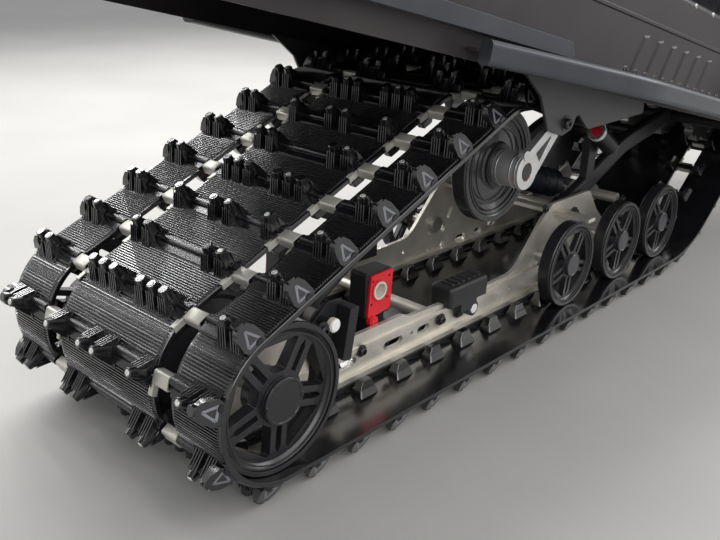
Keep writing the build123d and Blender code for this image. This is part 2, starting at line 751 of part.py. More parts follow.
def make_toe_ends():
    """Raised ends of the running boards, in front of the rider's boots."""
    x0, x1 = board_end + fit, board_end + 150
    z = foot_z(board_end)
    points = [(x0, z - 4, 0), (x0 + 60, z - 10, 60), (x1, z + 90, 0), (x1 - 4, z + 92, 0), (x0 + 58, z - 6, 56), (x0, z, 0)]
    return mirrored(plate(points, tunnel_half + fit, board_out - edge_w / 2 - fit))


def make_rear_beams():
    """Strips along the tunnel's sides, level with the passenger's feet."""
    x0, x1 = tunnel_rear + 40, rear_x + 530
    top, low = 49, 22
    points = [(x0, foot_z(x0) + top, 4), (x1, foot_z(x1) + top, 4), (x1 + 14, foot_z(x1) + low, 4), (x0, foot_z(x0) + low, 4)]
    return mirrored(plate(points, tunnel_half + fit, tunnel_half + 24))


def make_tunnel_brackets():
    """Plates inside the tunnel's walls that carry the upper axle's arms and the front arm."""
    outer = tunnel_half - tunnel_t - fit
    rear = [
        (446, None, 0), (881, None, 0), (881, 281, 4), (669, 278, 14), (626, 312, 10), (612, 286, 12), (581, 278, 14),
        (533, 296, 8), (503, 350, 8),
    ]
    points = [(rear_x + a, foot_z(rear_x + a) - 8 if b is None else rear_z + b, r) for a, b, r in rear]
    bracket = plate(points, outer - 5, outer)
    return mirrored(bracket)


bracket_bolt = (588.0, 298.0)


def make_upper_arms():
    """Cast arms that hold the upper axle's ends under the tunnel's brackets."""
    y1 = tunnel_half - tunnel_t - fit - 5 - fit
    y0 = wheel_face + 3 + fit
    bolt = at_axle(*bracket_bolt)
    arm = rod_y(upper_x, upper_z, 29, y0, y1 - 4)
    away = Vector(bolt[0] - upper_x, bolt[1] - upper_z).normalized()
    across = Vector(-away.Y, away.X)
    base, tip = Vector(upper_x, upper_z), Vector(*bolt)
    outline = [base + across * 27, tip + across * 13, tip - across * 13, base - across * 27]
    arm += plate([(p.X, p.Y, r) for p, r in zip(outline, (4, 11, 11, 4))], y1 - 16, y1 - 4)
    pocket = [base + away * 34 + across * 8, tip - away * 22, base + away * 34 - across * 13]
    arm -= plate([(p.X, p.Y, 2) for p in pocket], y1 - 30, y1 + 10)
    arm += rod_y(*bolt, 13, y1 - 16, y1)
    arm -= rod_y(upper_x, upper_z, axle_r + fit, 0, y1 - 14)
    arm -= rod_y(upper_x, upper_z, 15, y1 - 14, y1 + 10)
    x, z = upper_x + 22, upper_z + 26
    return mirrored(arm + rod_y(x - 30, z + 2, 8, y1 - 14, y1 - 2))


def make_upper_axle():
    reach = tunnel_half - tunnel_t - fit - 5 - fit - 14
    return hollow_axle(upper_x, upper_z, -reach, reach)


def make_rear_bumper():
    """A bent tube behind the tunnel, to lift the machine by, with the hitch's tongue below it."""
    z = foot_z(tunnel_rear) + 70
    y = tunnel_half + bumper_r + fit
    x = tunnel_rear - bumper_reach + bumper_r
    points = [(tunnel_rear + 120, y, z - 24), (x, y, z), (x, -y, z), (tunnel_rear + 120, -y, z - 24)]
    return solids(tube(points, 60, bumper_r), make_hitch())


def hitch_place():
    return tunnel_rear - 32, foot_z(tunnel_rear) + 24


def make_hitch():
    """A tongue with an upright hole, on a strap across the tunnel's open end."""
    x, z = hitch_place()
    strap = box(tunnel_rear - 7, tunnel_rear - fit, -tunnel_half, tunnel_half, z - 14, z + 26)
    tongue = slab([(tunnel_rear - 6, -30, 0), (x - 18, -18, 14), (x - 18, 18, 14), (tunnel_rear - 6, 30, 0)],
                  z - hitch_t / 2, z + hitch_t / 2)
    return strap + tongue - Pos(x, 0, z) * Cylinder(hitch_bore, 60)


def make_snow_flap():
    """A rubber sheet that hangs behind the track from the hitch's strap."""
    x, z = tunnel_rear - 7 - fit, foot_z(tunnel_rear)
    points = [
        (x, z + 34, 0), (x, z - 60, 120), (x - 60, z - 300, 0), (x - 66, z - 298, 0), (x - 6, z - 60, 126), (x - 6, z + 34, 0),
    ]
    flap = plate(points, -track_half, track_half)
    for y in (-170, -85, 0, 85, 170):
        flap += plate([(x - 34, z - 180, 0), (x - 60, z - 288, 0), (x - 71, z - 288, 0), (x - 42, z - 180, 0)], y - 6, y + 6)
    return flap - box(x - 40, x + 10, -38, 38, z + 10, z + 60)


def make_tail_lamp():
    x, z = tunnel_rear + 20, foot_z(tunnel_rear + 20) + tunnel_h
    lamp = plate([(x, z + fit, 4), (x + 58, z + fit - 58 * tan(radians(tunnel_angle)), 4), (x + 50, z + 38, 12), (x + 6, z + 46, 10)],
                 -120, 120)
    return lamp


# Seat and console


def tunnel_top(x):
    """Height just above the tunnel's top sheet."""
    return foot_z(x) + tunnel_h + fit


seat_half = 165.0
seat_rear_ahead = 150.0
seat_front_ahead = 1150.0
seat_base_h = 22.0


def make_seat():
    """The long padded seat, with the passenger's raised part behind."""
    x0, x1 = rear_x + seat_rear_ahead, rear_x + seat_front_ahead
    side = [
        (x0, tunnel_top(x0) + seat_base_h, 10), (x1, tunnel_top(x1) + seat_base_h, 10),
        (x1 + 12, tunnel_top(x1) + 120, 40), (x1 - 70, tunnel_top(x1) + 170, 60),
        (x0 + 500, tunnel_top(x0) + 50, 140), (x0 + 400, tunnel_top(x0) + 124, 60), (x0 + 20, tunnel_top(x0) + 166, 40),
    ]
    return plate(side, -seat_half, seat_half)


def make_seat_base():
    x0, x1 = rear_x + seat_rear_ahead + 6, rear_x + seat_front_ahead + 2
    high = seat_base_h - fit
    points = [(x0, tunnel_top(x0), 3), (x1, tunnel_top(x1), 3), (x1, tunnel_top(x1) + high, 3), (x0, tunnel_top(x0) + high, 3)]
    return plate(points, -seat_half + 8, seat_half - 8)


def make_console():
    """The tank's cover between the seat and the handlebar."""
    faces = []
    for ahead, *pairs in console_rows:
        low = tunnel_top(rear_x + ahead)
        faces.append(section(ahead, [(pairs[0][0], low), *pairs], 0))
    lump = loft(faces, ruled=True)
    lump -= bar(post_point(-post_down - 2), post_point(0), post_r + fit)
    return lump - bar(post_point(40 - post_down), post_point(0), post_r + post_gap)


# Console, above the tunnel: (ahead, then half width and height of waist, shoulder and crown edge)
console_rows = (
    (1166, (118, 700), (104, 762), (52, 786)),
    (1300, (150, 720), (134, 836), (70, 866)),
    (1480, (158, 720), (146, 850), (84, 888)),
    (1720, (158, 700), (150, 820), (110, 850)),
)

# Front body: (ahead, then half width and height of sill, waist, shoulder and crown edge)
body_rows = (
    (1500, (300, 470), (345, 640), (312, 800), (165, 915)),
    (1720, (318, 425), (378, 590), (350, 745), (205, 880)),
    (1960, (298, 402), (382, 552), (352, 690), (215, 806)),
    (2200, (240, 402), (330, 518), (300, 620), (185, 702)),
    (2395, (150, 424), (215, 490), (195, 545), (120, 588)),
)


def section(ahead, pairs, grow):
    """A closed upright section of the body, drawn in by grow."""
    inset = [(y - grow, z + grow * s) for (y, z), s in zip(pairs, (1, 0, -0.6, -1))]
    half = [(rear_x + ahead, y, z) for y, z in inset]
    other = [(x, -y, z) for x, y, z in reversed(half)]
    return make_face(Polyline(*half, *other, close=True))


def body_form(grow, sink=0.0):
    """The front body's outer form, drawn in all round by grow, with its sills lowered by sink."""
    faces = []
    for i, (ahead, (y, z), *pairs) in enumerate(body_rows):
        end = {0: grow, len(body_rows) - 1: -grow}.get(i, 0)
        faces.append(section(ahead + end, [(y, z - sink), *pairs], grow))
    return loft(faces, ruled=True)


split_line = ((1400, 800), (2500, 520))


def above_split(lift):
    (a0, z0), (a1, z1) = split_line
    points = [(rear_x + a0, z0 + lift, 0), (rear_x + a1, z1 + lift, 0), (rear_x + a1, 2000, 0), (rear_x + a0, 2000, 0)]
    return plate(points, -900, 900)


lamp_view = ((78, 585), (150, 600), (205, 640), (170, 668), (82, 640))


def lamp_prism(grow):
    """A prism along X whose outline is a head lamp's front view."""
    cy = sum(y for y, _ in lamp_view) / len(lamp_view)
    cz = sum(z for _, z in lamp_view) / len(lamp_view)
    points = []
    for y, z in lamp_view:
        d = hypot(y - cy, z - cz)
        points.append(((y - cy) * (1 + grow / d) + cy, (z - cz) * (1 + grow / d) + cz, 8))
    face = Plane(origin=(rear_x + 2120, 0, 0), x_dir=(0, 1, 0), z_dir=(1, 0, 0)) * rounded_face(points)
    return extrude(face, 320)


def make_body():
    """Hood, side panels and nose: one shell, split along the line where the hood opens."""
    shell = body_form(0) - body_form(body_wall, 60)
    back = rear_x + body_rows[0][0]
    shell -= box(back - 10, tunnel_front + 6, -tunnel_half - fit, tunnel_half + fit, 0, 660)
    shell -= box(back - 10, back + 40, -170, 170, 0, 902)
    shell -= bar(post_point(-post_down), post_point(0), post_r + post_gap)
    hood = shell & above_split(fit)
    sides = shell - above_split(-fit)
    arch = [(ski_x - 190, 300, 0), (ski_x + 110, 300, 0), (ski_x + 60, 520, 30), (ski_x - 110, 560, 30), (ski_x - 190, 460, 20)]
    for side in (-1, 1):
        hood -= mirror(lamp_prism(0), about=Plane.XZ) if side < 0 else lamp_prism(0)
        sides -= plate(arch, side * 190, side * 500)
    sides -= box(rear_x + 1400, rear_x + 2360, -2, 2, 0, 2000)
    return hood, sides


def make_headlamps():
    lens = (body_form(1) - body_form(16)) & lamp_prism(-fit)
    return mirrored(lens)


# Belly pan: (ahead, then half width and height of keel, chine and rim)
belly_rows = (
    (1725.5, (190, 240), (262, 330), (296, 424)),
    (1900, (160, 228), (188, 290), (200, 400)),
    (2200, (150, 268), (178, 312), (190, 400)),
    (2350, (96, 330), (118, 366), (130, 418)),
)


def belly_form(inset, rise=0.0):
    """The belly's outer form, drawn in all round by inset, with its rim raised by rise."""
    faces = []
    for i, (ahead, *pairs) in enumerate(belly_rows):
        end = {0: inset, len(belly_rows) - 1: -inset}.get(i, 0)
        (y0, z0), (y1, z1), (y2, z2) = pairs
        inner = [(y0 - inset, z0 + inset), (y1 - inset, z1 + inset / 3), (y2 - inset, z2 + rise)]
        faces.append(section(ahead + end, inner, 0))
    return loft(faces, ruled=True)


def belly_point(x, index):
    """(y, z) of the belly's keel, chine or rim at x."""
    ahead = x - rear_x
    for (a0, *low), (a1, *high) in zip(belly_rows, belly_rows[1:]):
        if ahead <= a1:
            break
    t = (ahead - a0) / (a1 - a0)
    (y0, z0), (y1, z1) = low[index], high[index]
    return y0 + (y1 - y0) * t, z0 + (z1 - z0) * t


def make_arm_lug(side, x, y, z, index, outward):
    """A lug on the belly with the bolt that one inner end of a front arm swings on."""
    start = x + outward * (sleeve_len / 2 + fit)
    face_x = min(start, start + outward * lug_t)
    by, bz = belly_point(x, index)
    near, far = Pos(side * (by - 6), bz - 8) * Circle(8), Pos(side * y, z) * Circle(15)
    frame = Plane(origin=(face_x, 0, 0), x_dir=(0, 1, 0), z_dir=(1, 0, 0))
    lug = extrude(frame * make_hull(near.edges() + far.edges()), lug_t)
    bolt = Pos((start + x - outward * sleeve_len / 2) / 2, side * y, z) * Cylinder(lug_bolt, sleeve_len + fit, rotation=(0, 90, 0))
    return lug + bolt


def make_belly_pan():
    pan = belly_form(0)
    for side in (-1, 1):
        for d, z, back, front, r in arm_table:
            for ahead, outward in ((back, -1), (front, 1)):
                index = 1 if d == arm_low_d else 2
                pan += make_arm_lug(side, rear_x + ahead, pivot_y, z, index, outward)
    pan -= belly_form(belly_wall, 60)
    a = leg_point(rod_d)
    x = a[0] - rod_arm
    return pan - box(x - 20, x + 20, -900, 900, a[1] - 12, a[1] + 48)


def make_engine():
    return box(tunnel_front + fit, shock_top_x() - 30, -150, 150, belly_rows[0][3][1] + 2, 700)


def make_front_bumper():
    """A bent tube round the nose, on the belly pan's sides."""
    x0, x1 = rear_x + 2215, rear_x + 2460
    y = belly_point(x0, 1)[0] + 2
    points = [(x0, y, 345), (x1 - 60, 200, 400), (x1, 150, 474), (x1, -150, 474), (x1 - 60, -200, 400), (x0, -y, 345)]
    return tube(points, 36, 12) - belly_form(-fit)


def make_windshield():
    """A curved clear sheet standing on the hood."""
    base = (rear_x + 1900, 780, 262, 130)
    rim = (rear_x + 1700, 1225, 200, 90)
    faces = []
    for x, z, half, depth in (base, rim):
        outer = ThreePointArc((x - depth, -half, z), (x, 0, z), (x - depth, half, z))
        inner = ThreePointArc((x - depth - 5, -half, z), (x - 5, 0, z), (x - depth - 5, half, z))
        ends = [Line(outer @ 1, inner @ 1), Line(inner @ 0, outer @ 0)]
        faces.append(make_face(Wire([outer, ends[0], inner, ends[1]])))
    return loft(faces, ruled=True) - body_form(-fit)


def make_dash():
    """The instrument's housing behind the windshield."""
    x = rear_x + 1560
    lump = plate([(x, 870, 0), (x + 120, 860, 0), (x + 160, 935, 20), (x + 96, 1000, 12), (x + 20, 968, 14)], -115, 115)
    return lump - body_form(-fit)


# Steering


def post_point(d):
    """A point on the steering axis, d above the handlebar's clamp."""
    t = radians(post_tilt)
    return post_x - d * sin(t), 0, post_z + d * cos(t)


def make_steering_post():
    post = bar(post_point(-post_down), post_point(-5), post_r)
    up = Vector(*post_point(1)) - Vector(*post_point(0))
    clamp = Plane(origin=post_point(8), z_dir=up, x_dir=(0, 1, 0)) * Box(96, 46, 34)
    return post + clamp - bar((bar_centre().X, -200, bar_centre().Z), (bar_centre().X, 200, bar_centre().Z), bar_r + fit)


def bar_centre():
    return Vector(*post_point(10))


def bar_points():
    c = bar_centre()
    return [
        (c.X - 92, -grip_y, c.Z + 6), (c.X - 40, -190, c.Z + 62), (c.X, -76, c.Z), (c.X, 76, c.Z), (c.X - 40, 190, c.Z + 62),
        (c.X - 92, grip_y, c.Z + 6),
    ]


def make_handlebar():
    return tube(bar_points(), 36, bar_r)


def grip_frame(side):
    """The handlebar's end and the direction from it towards the middle."""
    points = bar_points()
    end, bend = (points[-1], points[-2]) if side > 0 else (points[0], points[1])
    p = Vector(*end)
    return p, (Vector(*bend) - p).normalized()


def make_grips():
    grips = []
    for side in (-1, 1):
        p, d = grip_frame(side)
        grip = bar(p - d * 6, p + d * 122, 17) + bar(p + d * 116, p + d * 122, 22)
        grips.append(grip - bar(p - fit * d, p + d * 200, bar_r + fit))
    return solids(*grips)


def make_controls():
    """Switch blocks with the brake and throttle levers."""
    parts = []
    for side, reach in ((-1, 70), (1, 118)):
        p, d = grip_frame(side)
        pod = bar(p + d * 126, p + d * 164, 24)
        lever = bar(p + d * 146 + Vector(30, 0, -4), p + d * (146 - reach) + Vector(52, 0, -6), 5)
        neck = bar(p + d * 146, p + d * 146 + Vector(34, 0, -4), 9)
        parts.append(pod + neck + lever - bar(p, p + d * 260, bar_r + fit))
    return solids(*parts)


# Legs and skis


def leg_point(d):
    """(x, z) on a leg's steering axis, d above the ski's bolt."""
    t = radians(caster)
    return ski_x - d * sin(t), ski_bolt_z + d * cos(t)


arm_low_d = 90.0
arm_high_d = 270.0
rod_d = 230.0


def make_leg(side):
    """A cast spindle: upright post, foot with the ski's bolt, and steering arm."""
    y = side * ski_y
    low, high = leg_point(0), leg_point(arm_high_d + 30)
    leg = bar((low[0], y, low[1]), (high[0], y, high[1]), leg_r)
    foot = plate([(ski_x - 26, ski_bolt_z - 24, 10), (ski_x + 26, ski_bolt_z - 24, 10), (ski_x + 20, ski_bolt_z + 30, 8),
                  (ski_x - 30, ski_bolt_z + 30, 8)], y - 24, y + 24)
    a = leg_point(rod_d)
    arm = slab([(a[0] - rod_arm - 14, y - 11, 8), (a[0], y - 20, 0), (a[0], y + 20, 0), (a[0] - rod_arm - 14, y + 11, 8)],
               a[1] - 6, a[1] + 6)
    return leg + foot + arm + rod_y(ski_x, ski_bolt_z, ski_bolt_r, y - 46, y + 46)


def ski_profile(lift, thick):
    """Side view of the ski's blade as (x, z, radius) points."""
    x0, x1 = ski_x - ski_rear, ski_x + ski_front
    z = runner_h + lift
    return [
        (x0, z + 34, 0), (x0 + 110, z, 160), (x1 - 300, z, 400), (x1 - 60, z + 84, 300), (x1, z + 170, 0),
        (x1 - thick, z + 170 + thick * 0.4, 0), (x1 - 60 - thick, z + 84 + thick, 290), (x1 - 300, z + thick, 390),
        (x0 + 110, z + thick, 150), (x0 + 3, z + 34 + thick, 0),
    ]


def make_ski(side):
    """A plastic ski with its bridge for the leg and a steel runner along its keel."""
    y = side * ski_y
    x0, x1 = ski_x - ski_rear, ski_x + ski_front
    blade = plate(ski_profile(0, ski_t), y - ski_w / 2, y + ski_w / 2)
    plan = slab([(x0, y - ski_w / 2 + 14, 30), (x1 - 130, y - ski_w / 2, 0), (x1, y - 38, 30), (x1, y + 38, 30),
                 (x1 - 130, y + ski_w / 2, 0), (x0, y + ski_w / 2 - 14, 30)], -10, 400)
    blade &= plan
    top = runner_h + ski_t
    bridge = plate([(ski_x - 90, top - 4, 0), (ski_x + 90, top - 4, 0), (ski_x + 34, ski_bolt_z + 20, 18),
                    (ski_x - 34, ski_bolt_z + 20, 18)], y - 38, y + 38)
    slot = plate([(ski_x - 140, top + 12, 0), (ski_x + 140, top + 12, 0), (ski_x + 140, 400, 0), (ski_x - 140, 400, 0)],
                 y - 24 - fit, y + 24 + fit)
    bridge -= slot
    bridge -= rod_y(ski_x, ski_bolt_z, ski_bolt_r + fit, y - 80, y + 80)
    keel = box(x0 + 130, x1 - 320, y - 16, y + 16, runner_h - 2, runner_h + 2)
    runner = plate([(x0 + 150, runner_h, 0), (x0 + 165, 0, 4), (x1 - 350, 0, 4), (x1 - 330, runner_h, 0)], y - 5, y + 5)
    return blade + bridge + keel + runner


def make_ski_loop(side):
    """The handle from the blade to the ski's tip."""
    y = side * ski_y
    x1 = ski_x + ski_front
    z = runner_h + ski_t
    points = [(x1 - 330, y, z), (x1 - 235, y, z + 122), (x1 - 60, y, z + 180), (x1 - 18, y, z + 142)]
    return tube(points, 30, 9) - plate(ski_profile(-fit, ski_t + 2 * fit), y - 30, y + 30)


# Front arms: distance up the steering axis, then height and (ahead) of the inner ends, and the tube's radius
arm_table = (
    (arm_low_d, 290, 1945, 2205, 12),
    (arm_high_d, 425, 1945, 2165, 10),
)


def make_front_arms(side):
    arms = []
    y = side * ski_y
    for d, z, back, front, r in arm_table:
        a, low, high = leg_point(d), leg_point(d - 15), leg_point(d + 15)
        arm = bar((low[0], y, low[1]), (high[0], y, high[1]), leg_r + 9)
        for ahead in (back, front):
            x = rear_x + ahead
            arm += bar((x, side * pivot_y, z), (a[0], y - side * 20, a[1]), r)
            arm += Pos(x, side * pivot_y, z) * Cylinder(r + 4, sleeve_len, rotation=(0, 90, 0))
            arm -= Pos(x, side * pivot_y, z) * Cylinder(lug_bolt + fit, sleeve_len + 20, rotation=(0, 90, 0))
        low, high = leg_point(d - 60), leg_point(d + 60)
        arm -= bar((low[0], y, low[1]), (high[0], y, high[1]), leg_r + fit)
        if d == arm_low_d:
            arm += bar(*shock_pins(side), shock_pin)
        arms.append(arm)
    return arms


shock_share = 0.58
shock_eye_r = 15.0
shock_eye_w = 36.0
shock_pin = 8.0
front_shock_r = 16.0


def shock_top_x():
    return ski_x - 55


def arm_point(row, ahead, side, share):
    """A place on an arm's tube, a share of the way out to the leg."""
    d, z = row[0], row[1]
    a = leg_point(d)
    y0, y1 = pivot_y, ski_y - 20
    return Vector(rear_x + ahead + (a[0] - rear_x - ahead) * share, side * (y0 + (y1 - y0) * share), z + (a[1] - z) * share)


def shock_pins(side):
    """The two ends of the lower pin, on the lower arm's two tubes."""
    row = arm_table[0]
    return arm_point(row, row[2], side, shock_share), arm_point(row, row[3], side, shock_share)


def shock_ends(side):
    back, front = shock_pins(side)
    return Vector(shock_top_x(), side * 228, 612), (back + front) / 2


def make_front_frame():
    """The bulkhead that the front dampers' upper ends are pinned to."""
    x = shock_top_x() - shock_eye_w / 2 - fit
    view = [(168, 410, 6), (180, 520, 20), (248, 600, 12), (240, 632, 12), (170, 640, 20)]
    outline = view + [(-y, z, r) for y, z, r in reversed(view)]
    face = Plane(origin=(x - 8, 0, 0), x_dir=(0, 1, 0), z_dir=(1, 0, 0)) * rounded_face(outline)
    window = Plane(origin=(x - 9, 0, 0), x_dir=(0, 1, 0), z_dir=(1, 0, 0)) * rounded_face(
        [(-110, 300, 12), (110, 300, 12), (130, 590, 20), (-130, 590, 20)])
    frame = extrude(face, 8) + (box(x - 8, x, -200, 200, 200, 422) & belly_form(belly_wall + fit, 60))
    frame -= extrude(window, 10)
    for side in (-1, 1):
        top = shock_ends(side)[0]
        frame += Pos(x + shock_eye_w / 2, top.Y, top.Z) * Cylinder(shock_pin, shock_eye_w + 8, rotation=(0, 90, 0))
    return frame


def make_tie_rod(side):
    """A steering link that lies over the leg's steering arm."""
    a = leg_point(rod_d)
    z = a[1] + 6 + rod_gap + 8
    rod = bar((a[0] - rod_arm, side * 130, z), (a[0] - rod_arm, side * (ski_y - 14), z), 8)
    return rod + Pos(a[0] - rod_arm, side * ski_y, z) * Cylinder(14, 16)


def main():
    os.makedirs("parts", exist_ok=True)
    hood, sides = make_body()
    nodes = {
        "track": make_track(),
        "rails": make_rails(),
        "rail_ties": make_rail_ties(),
        "slide_shoes": make_slide_shoes(),
        "rail_stops": make_rail_stops(),
        "coupling_blocks": solids(make_coupling_blocks(), make_rail_brackets()),
        "coupling_plates": make_coupling_plates(),
        "bushings": make_bushings(),
        "rear_axle": make_rear_axle(),
        "rear_wheels": make_rear_wheels(),
        "bogie_axles": make_bogie_axles(),
        "bogie_wheels": make_bogie_wheels(),
        "upper_axle": make_upper_axle(),
        "upper_wheels": solids(upper_wheel(-1), upper_wheel(1)),
        "upper_arms": make_upper_arms(),
        "rear_arm": make_rear_arm(),
        "front_arm": make_front_arm(),
        "dampers": make_dampers(),
        "springs": make_springs(),
        "drive_axle": make_drive_axle(),
        "tunnel": make_tunnel(),
        "tunnel_brackets": make_tunnel_brackets(),
        "running_boards": solids(make_boards(), make_toe_ends()),
        "board_edges": solids(make_board_edges(), make_rear_beams()),
        "rear_bumper": make_rear_bumper(),
        "snow_flap": make_snow_flap(),
        "tail_lamp": make_tail_lamp(),
        "seat": make_seat(),
        "seat_base": make_seat_base(),
        "console": make_console(),
        "hood": hood,
        "side_panels": sides,
        "belly_pan": make_belly_pan(),
        "engine": make_engine(),
        "front_bumper": make_front_bumper(),
        "headlamps": make_headlamps(),
        "windshield": make_windshield(),
        "dash": make_dash(),
        "front_arms": solids(*make_front_arms(-1), *make_front_arms(1)),
        "front_frame": make_front_frame(),
        "steering_post": make_steering_post(),
        "handlebar": make_handlebar(),
        "grips": make_grips(),
        "controls": make_controls(),
    }
    for name, side in (("left", 1), ("right", -1)):
        nodes[f"leg_{name}"] = make_leg(side)
        nodes[f"ski_{name}"] = make_ski(side)
        nodes[f"ski_loop_{name}"] = make_ski_loop(side)
        nodes[f"tie_rod_{name}"] = make_tie_rod(side)
    for name, shape in nodes.items():
        export_step(shape, f"parts/{name}.step")


main()
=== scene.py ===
"""Finishes, moulded track, springs, seat, body skins and small fittings of a wide-track utility snowmobile.

Forms are drawn in millimetres in the machine's own frame (+X forward, +Y left, +Z up), and piece() makes
metres of them. Places called ahead and above count from the rear axle.
"""

import json
from math import atan2, copysign, cos, hypot, pi, radians, sin, sqrt, tan

import bmesh
import bpy
from mathutils import Matrix, Vector
from mathutils.bvhtree import BVHTree


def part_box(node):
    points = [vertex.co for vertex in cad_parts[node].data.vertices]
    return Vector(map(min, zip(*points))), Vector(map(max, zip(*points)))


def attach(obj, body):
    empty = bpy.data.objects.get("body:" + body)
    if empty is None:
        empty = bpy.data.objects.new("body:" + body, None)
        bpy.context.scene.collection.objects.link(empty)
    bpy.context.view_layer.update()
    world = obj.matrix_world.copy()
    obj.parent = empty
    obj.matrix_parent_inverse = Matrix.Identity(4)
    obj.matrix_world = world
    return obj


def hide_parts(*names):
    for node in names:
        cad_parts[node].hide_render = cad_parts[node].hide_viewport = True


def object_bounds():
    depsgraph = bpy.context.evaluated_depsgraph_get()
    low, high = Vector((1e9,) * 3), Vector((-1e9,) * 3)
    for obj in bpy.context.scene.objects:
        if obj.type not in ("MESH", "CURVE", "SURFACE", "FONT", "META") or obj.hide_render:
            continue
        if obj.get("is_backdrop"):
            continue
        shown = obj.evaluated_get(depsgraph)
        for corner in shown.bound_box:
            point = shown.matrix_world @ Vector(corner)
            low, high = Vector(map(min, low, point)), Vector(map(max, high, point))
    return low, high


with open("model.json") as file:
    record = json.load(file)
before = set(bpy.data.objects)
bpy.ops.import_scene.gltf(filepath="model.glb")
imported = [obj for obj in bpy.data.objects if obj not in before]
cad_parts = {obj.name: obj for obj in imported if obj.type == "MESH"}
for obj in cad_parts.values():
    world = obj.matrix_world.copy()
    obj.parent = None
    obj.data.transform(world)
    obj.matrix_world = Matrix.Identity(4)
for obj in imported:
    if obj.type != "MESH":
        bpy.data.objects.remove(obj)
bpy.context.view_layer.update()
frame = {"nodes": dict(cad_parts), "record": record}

MM = 0.001
SIDES = (-1, 1)


# Shader kit


class Value:
    """A number that varies over a surface. Python's operators on it add Math nodes."""

    def __init__(self, finish, socket):
        self.finish = finish
        self.socket = socket

    def maths(self, operation, other):
        return self.finish.node("Math", {"operation": operation}, {0: self, 1: other})

    def __add__(self, other):
        return self.maths("ADD", other)

    def __mul__(self, other):
        return self.maths("MULTIPLY", other)

    def step(self, low, high):
        """0 below low and 1 above high, smooth between; the other way round where low is the larger."""
        ends = {"Value": self, "From Min": low, "From Max": high}
        return self.finish.node("MapRange", {"interpolation_type": "SMOOTHSTEP"}, ends, "Result")


class Finish:
    """One material: a Principled shader, and the nodes that vary it over a surface."""

    def __init__(self, name, colour, roughness, metallic=0.0, **sockets):
        self.name = name
        self.material = bpy.data.materials.new(name)
        self.material.use_nodes = True
        self.tree = self.material.node_tree
        self.shader = self.tree.nodes["Principled BSDF"]
        self.set(**{"Base Color": (*colour, 1), "Roughness": roughness, "Metallic": metallic}, **sockets)

    def feed(self, socket, value):
        if isinstance(value, Value):
            self.tree.links.new(value.socket, socket)
        else:
            socket.default_value = value

    def set(self, **sockets):
        """Sets or links the shader's own sockets."""
        for name, value in sockets.items():
            self.feed(self.shader.inputs[name], value)

    def paint(self, colour, roughness):
        """Links a varying colour and roughness."""
        self.set(**{"Base Color": colour, "Roughness": roughness})

    def node(self, kind, settings, sockets, output=0):
        """The output of a new node: its settings come first, then the values or links of its sockets."""
        made = self.tree.nodes.new("ShaderNode" + kind)
        for name, value in settings.items():
            setattr(made, name, value)
        for name, value in sockets.items():
            self.feed(made.inputs[name], value)
        return Value(self, made.outputs[output])

    def noise(self, size, detail, stretch=(1, 1, 1)):
        """Cloudy variation from 0 to 1 over the object, in patches of about size metres."""
        spot = self.node("TexCoord", {}, {}, "Object")
        place = self.node("VectorMath", {"operation": "MULTIPLY"}, {0: spot, 1: stretch})
        return self.node("TexNoise", {}, {"Vector": place, "Scale": 1 / size, "Detail": detail})

    def mix(self, share, first, second):
        """A colour between two others."""
        first, second = (c if isinstance(c, Value) else (*c, 1) for c in (first, second))
        return self.node("Mix", {"data_type": "RGBA"}, {"Factor": share, 6: first, 7: second}, 2)

    def round_edges(self, radius):
        """The surface's direction, with its edges rounded off in the shading."""
        return self.node("Bevel", {"samples": 4}, {"Radius": radius})

    def worn(self, radius):
        """1 along the edges that touch and wear, and 0 elsewhere."""
        flat = self.node("NewGeometry", {}, {}, "Normal")
        both = {0: flat, 1: self.round_edges(radius)}
        return self.node("VectorMath", {"operation": "DOT_PRODUCT"}, both, "Value").step(0.97, 0.8)

    def relief(self, height, depth, rounded=None):
        """Raises the surface by height (0 to 1) times depth metres."""
        sockets = {"Height": height, "Distance": depth, "Strength": 1.0}
        if rounded:
            sockets["Normal"] = self.round_edges(rounded)
        self.set(Normal=self.node("Bump", {}, sockets))


def shade(colour, factor):
    return tuple(min(1.0, c * factor) for c in colour)


def rubber(name, colour, roughness, depth=0.00005, **sockets):
    """Moulded rubber: satin, a little cloudy, greyer along its edges."""
    made = Finish(name, colour, roughness, **sockets)
    cloud = made.noise(0.05, 4)
    fine = made.noise(0.0006, 3)
    worn = made.worn(0.0012) * cloud.step(0.3, 0.7)
    dusty = made.mix(cloud.step(0.4, 0.75) * 0.5, colour, shade(colour, 1.7))
    base = made.mix(worn * 0.5, dusty, shade(colour, 3.0))
    made.paint(base, cloud * 0.16 + fine * 0.1 + (roughness - 0.13))
    made.relief(fine, depth, 0.0008)
    return made


def plastic(name, colour, roughness, grain=0.0009, depth=0.00004, rounded=0.0009, **sockets):
    """Moulded plastic: fine grain, faint clouds and rounded edges."""
    made = Finish(name, colour, roughness, **sockets)
    cloud = made.noise(0.08, 3)
    fine = made.noise(grain, 2)
    base = made.mix(cloud.step(0.3, 0.8), colour, shade(colour, 1.25))
    made.paint(base, fine * 0.1 + cloud * 0.08 + (roughness - 0.09))
    made.relief(fine, depth, rounded)
    return made


def painted(name, colour, roughness, metallic=0.0):
    """Sprayed or powder coated metal: orange peel, faint clouds, brighter worn edges."""
    made = Finish(name, colour, roughness, metallic)
    cloud = made.noise(0.12, 3)
    peel = made.noise(0.0022, 1)
    worn = made.worn(0.0012) * made.noise(0.02, 3).step(0.5, 0.7)
    base = made.mix(cloud.step(0.3, 0.75), shade(colour, 0.88), shade(colour, 1.15))
    base = made.mix(worn * 0.6, base, shade(colour, 2.6))
    made.paint(base, cloud * 0.12 + peel * 0.06 + (roughness - 0.09))
    made.relief(peel, 0.00003, 0.0012)
    return made


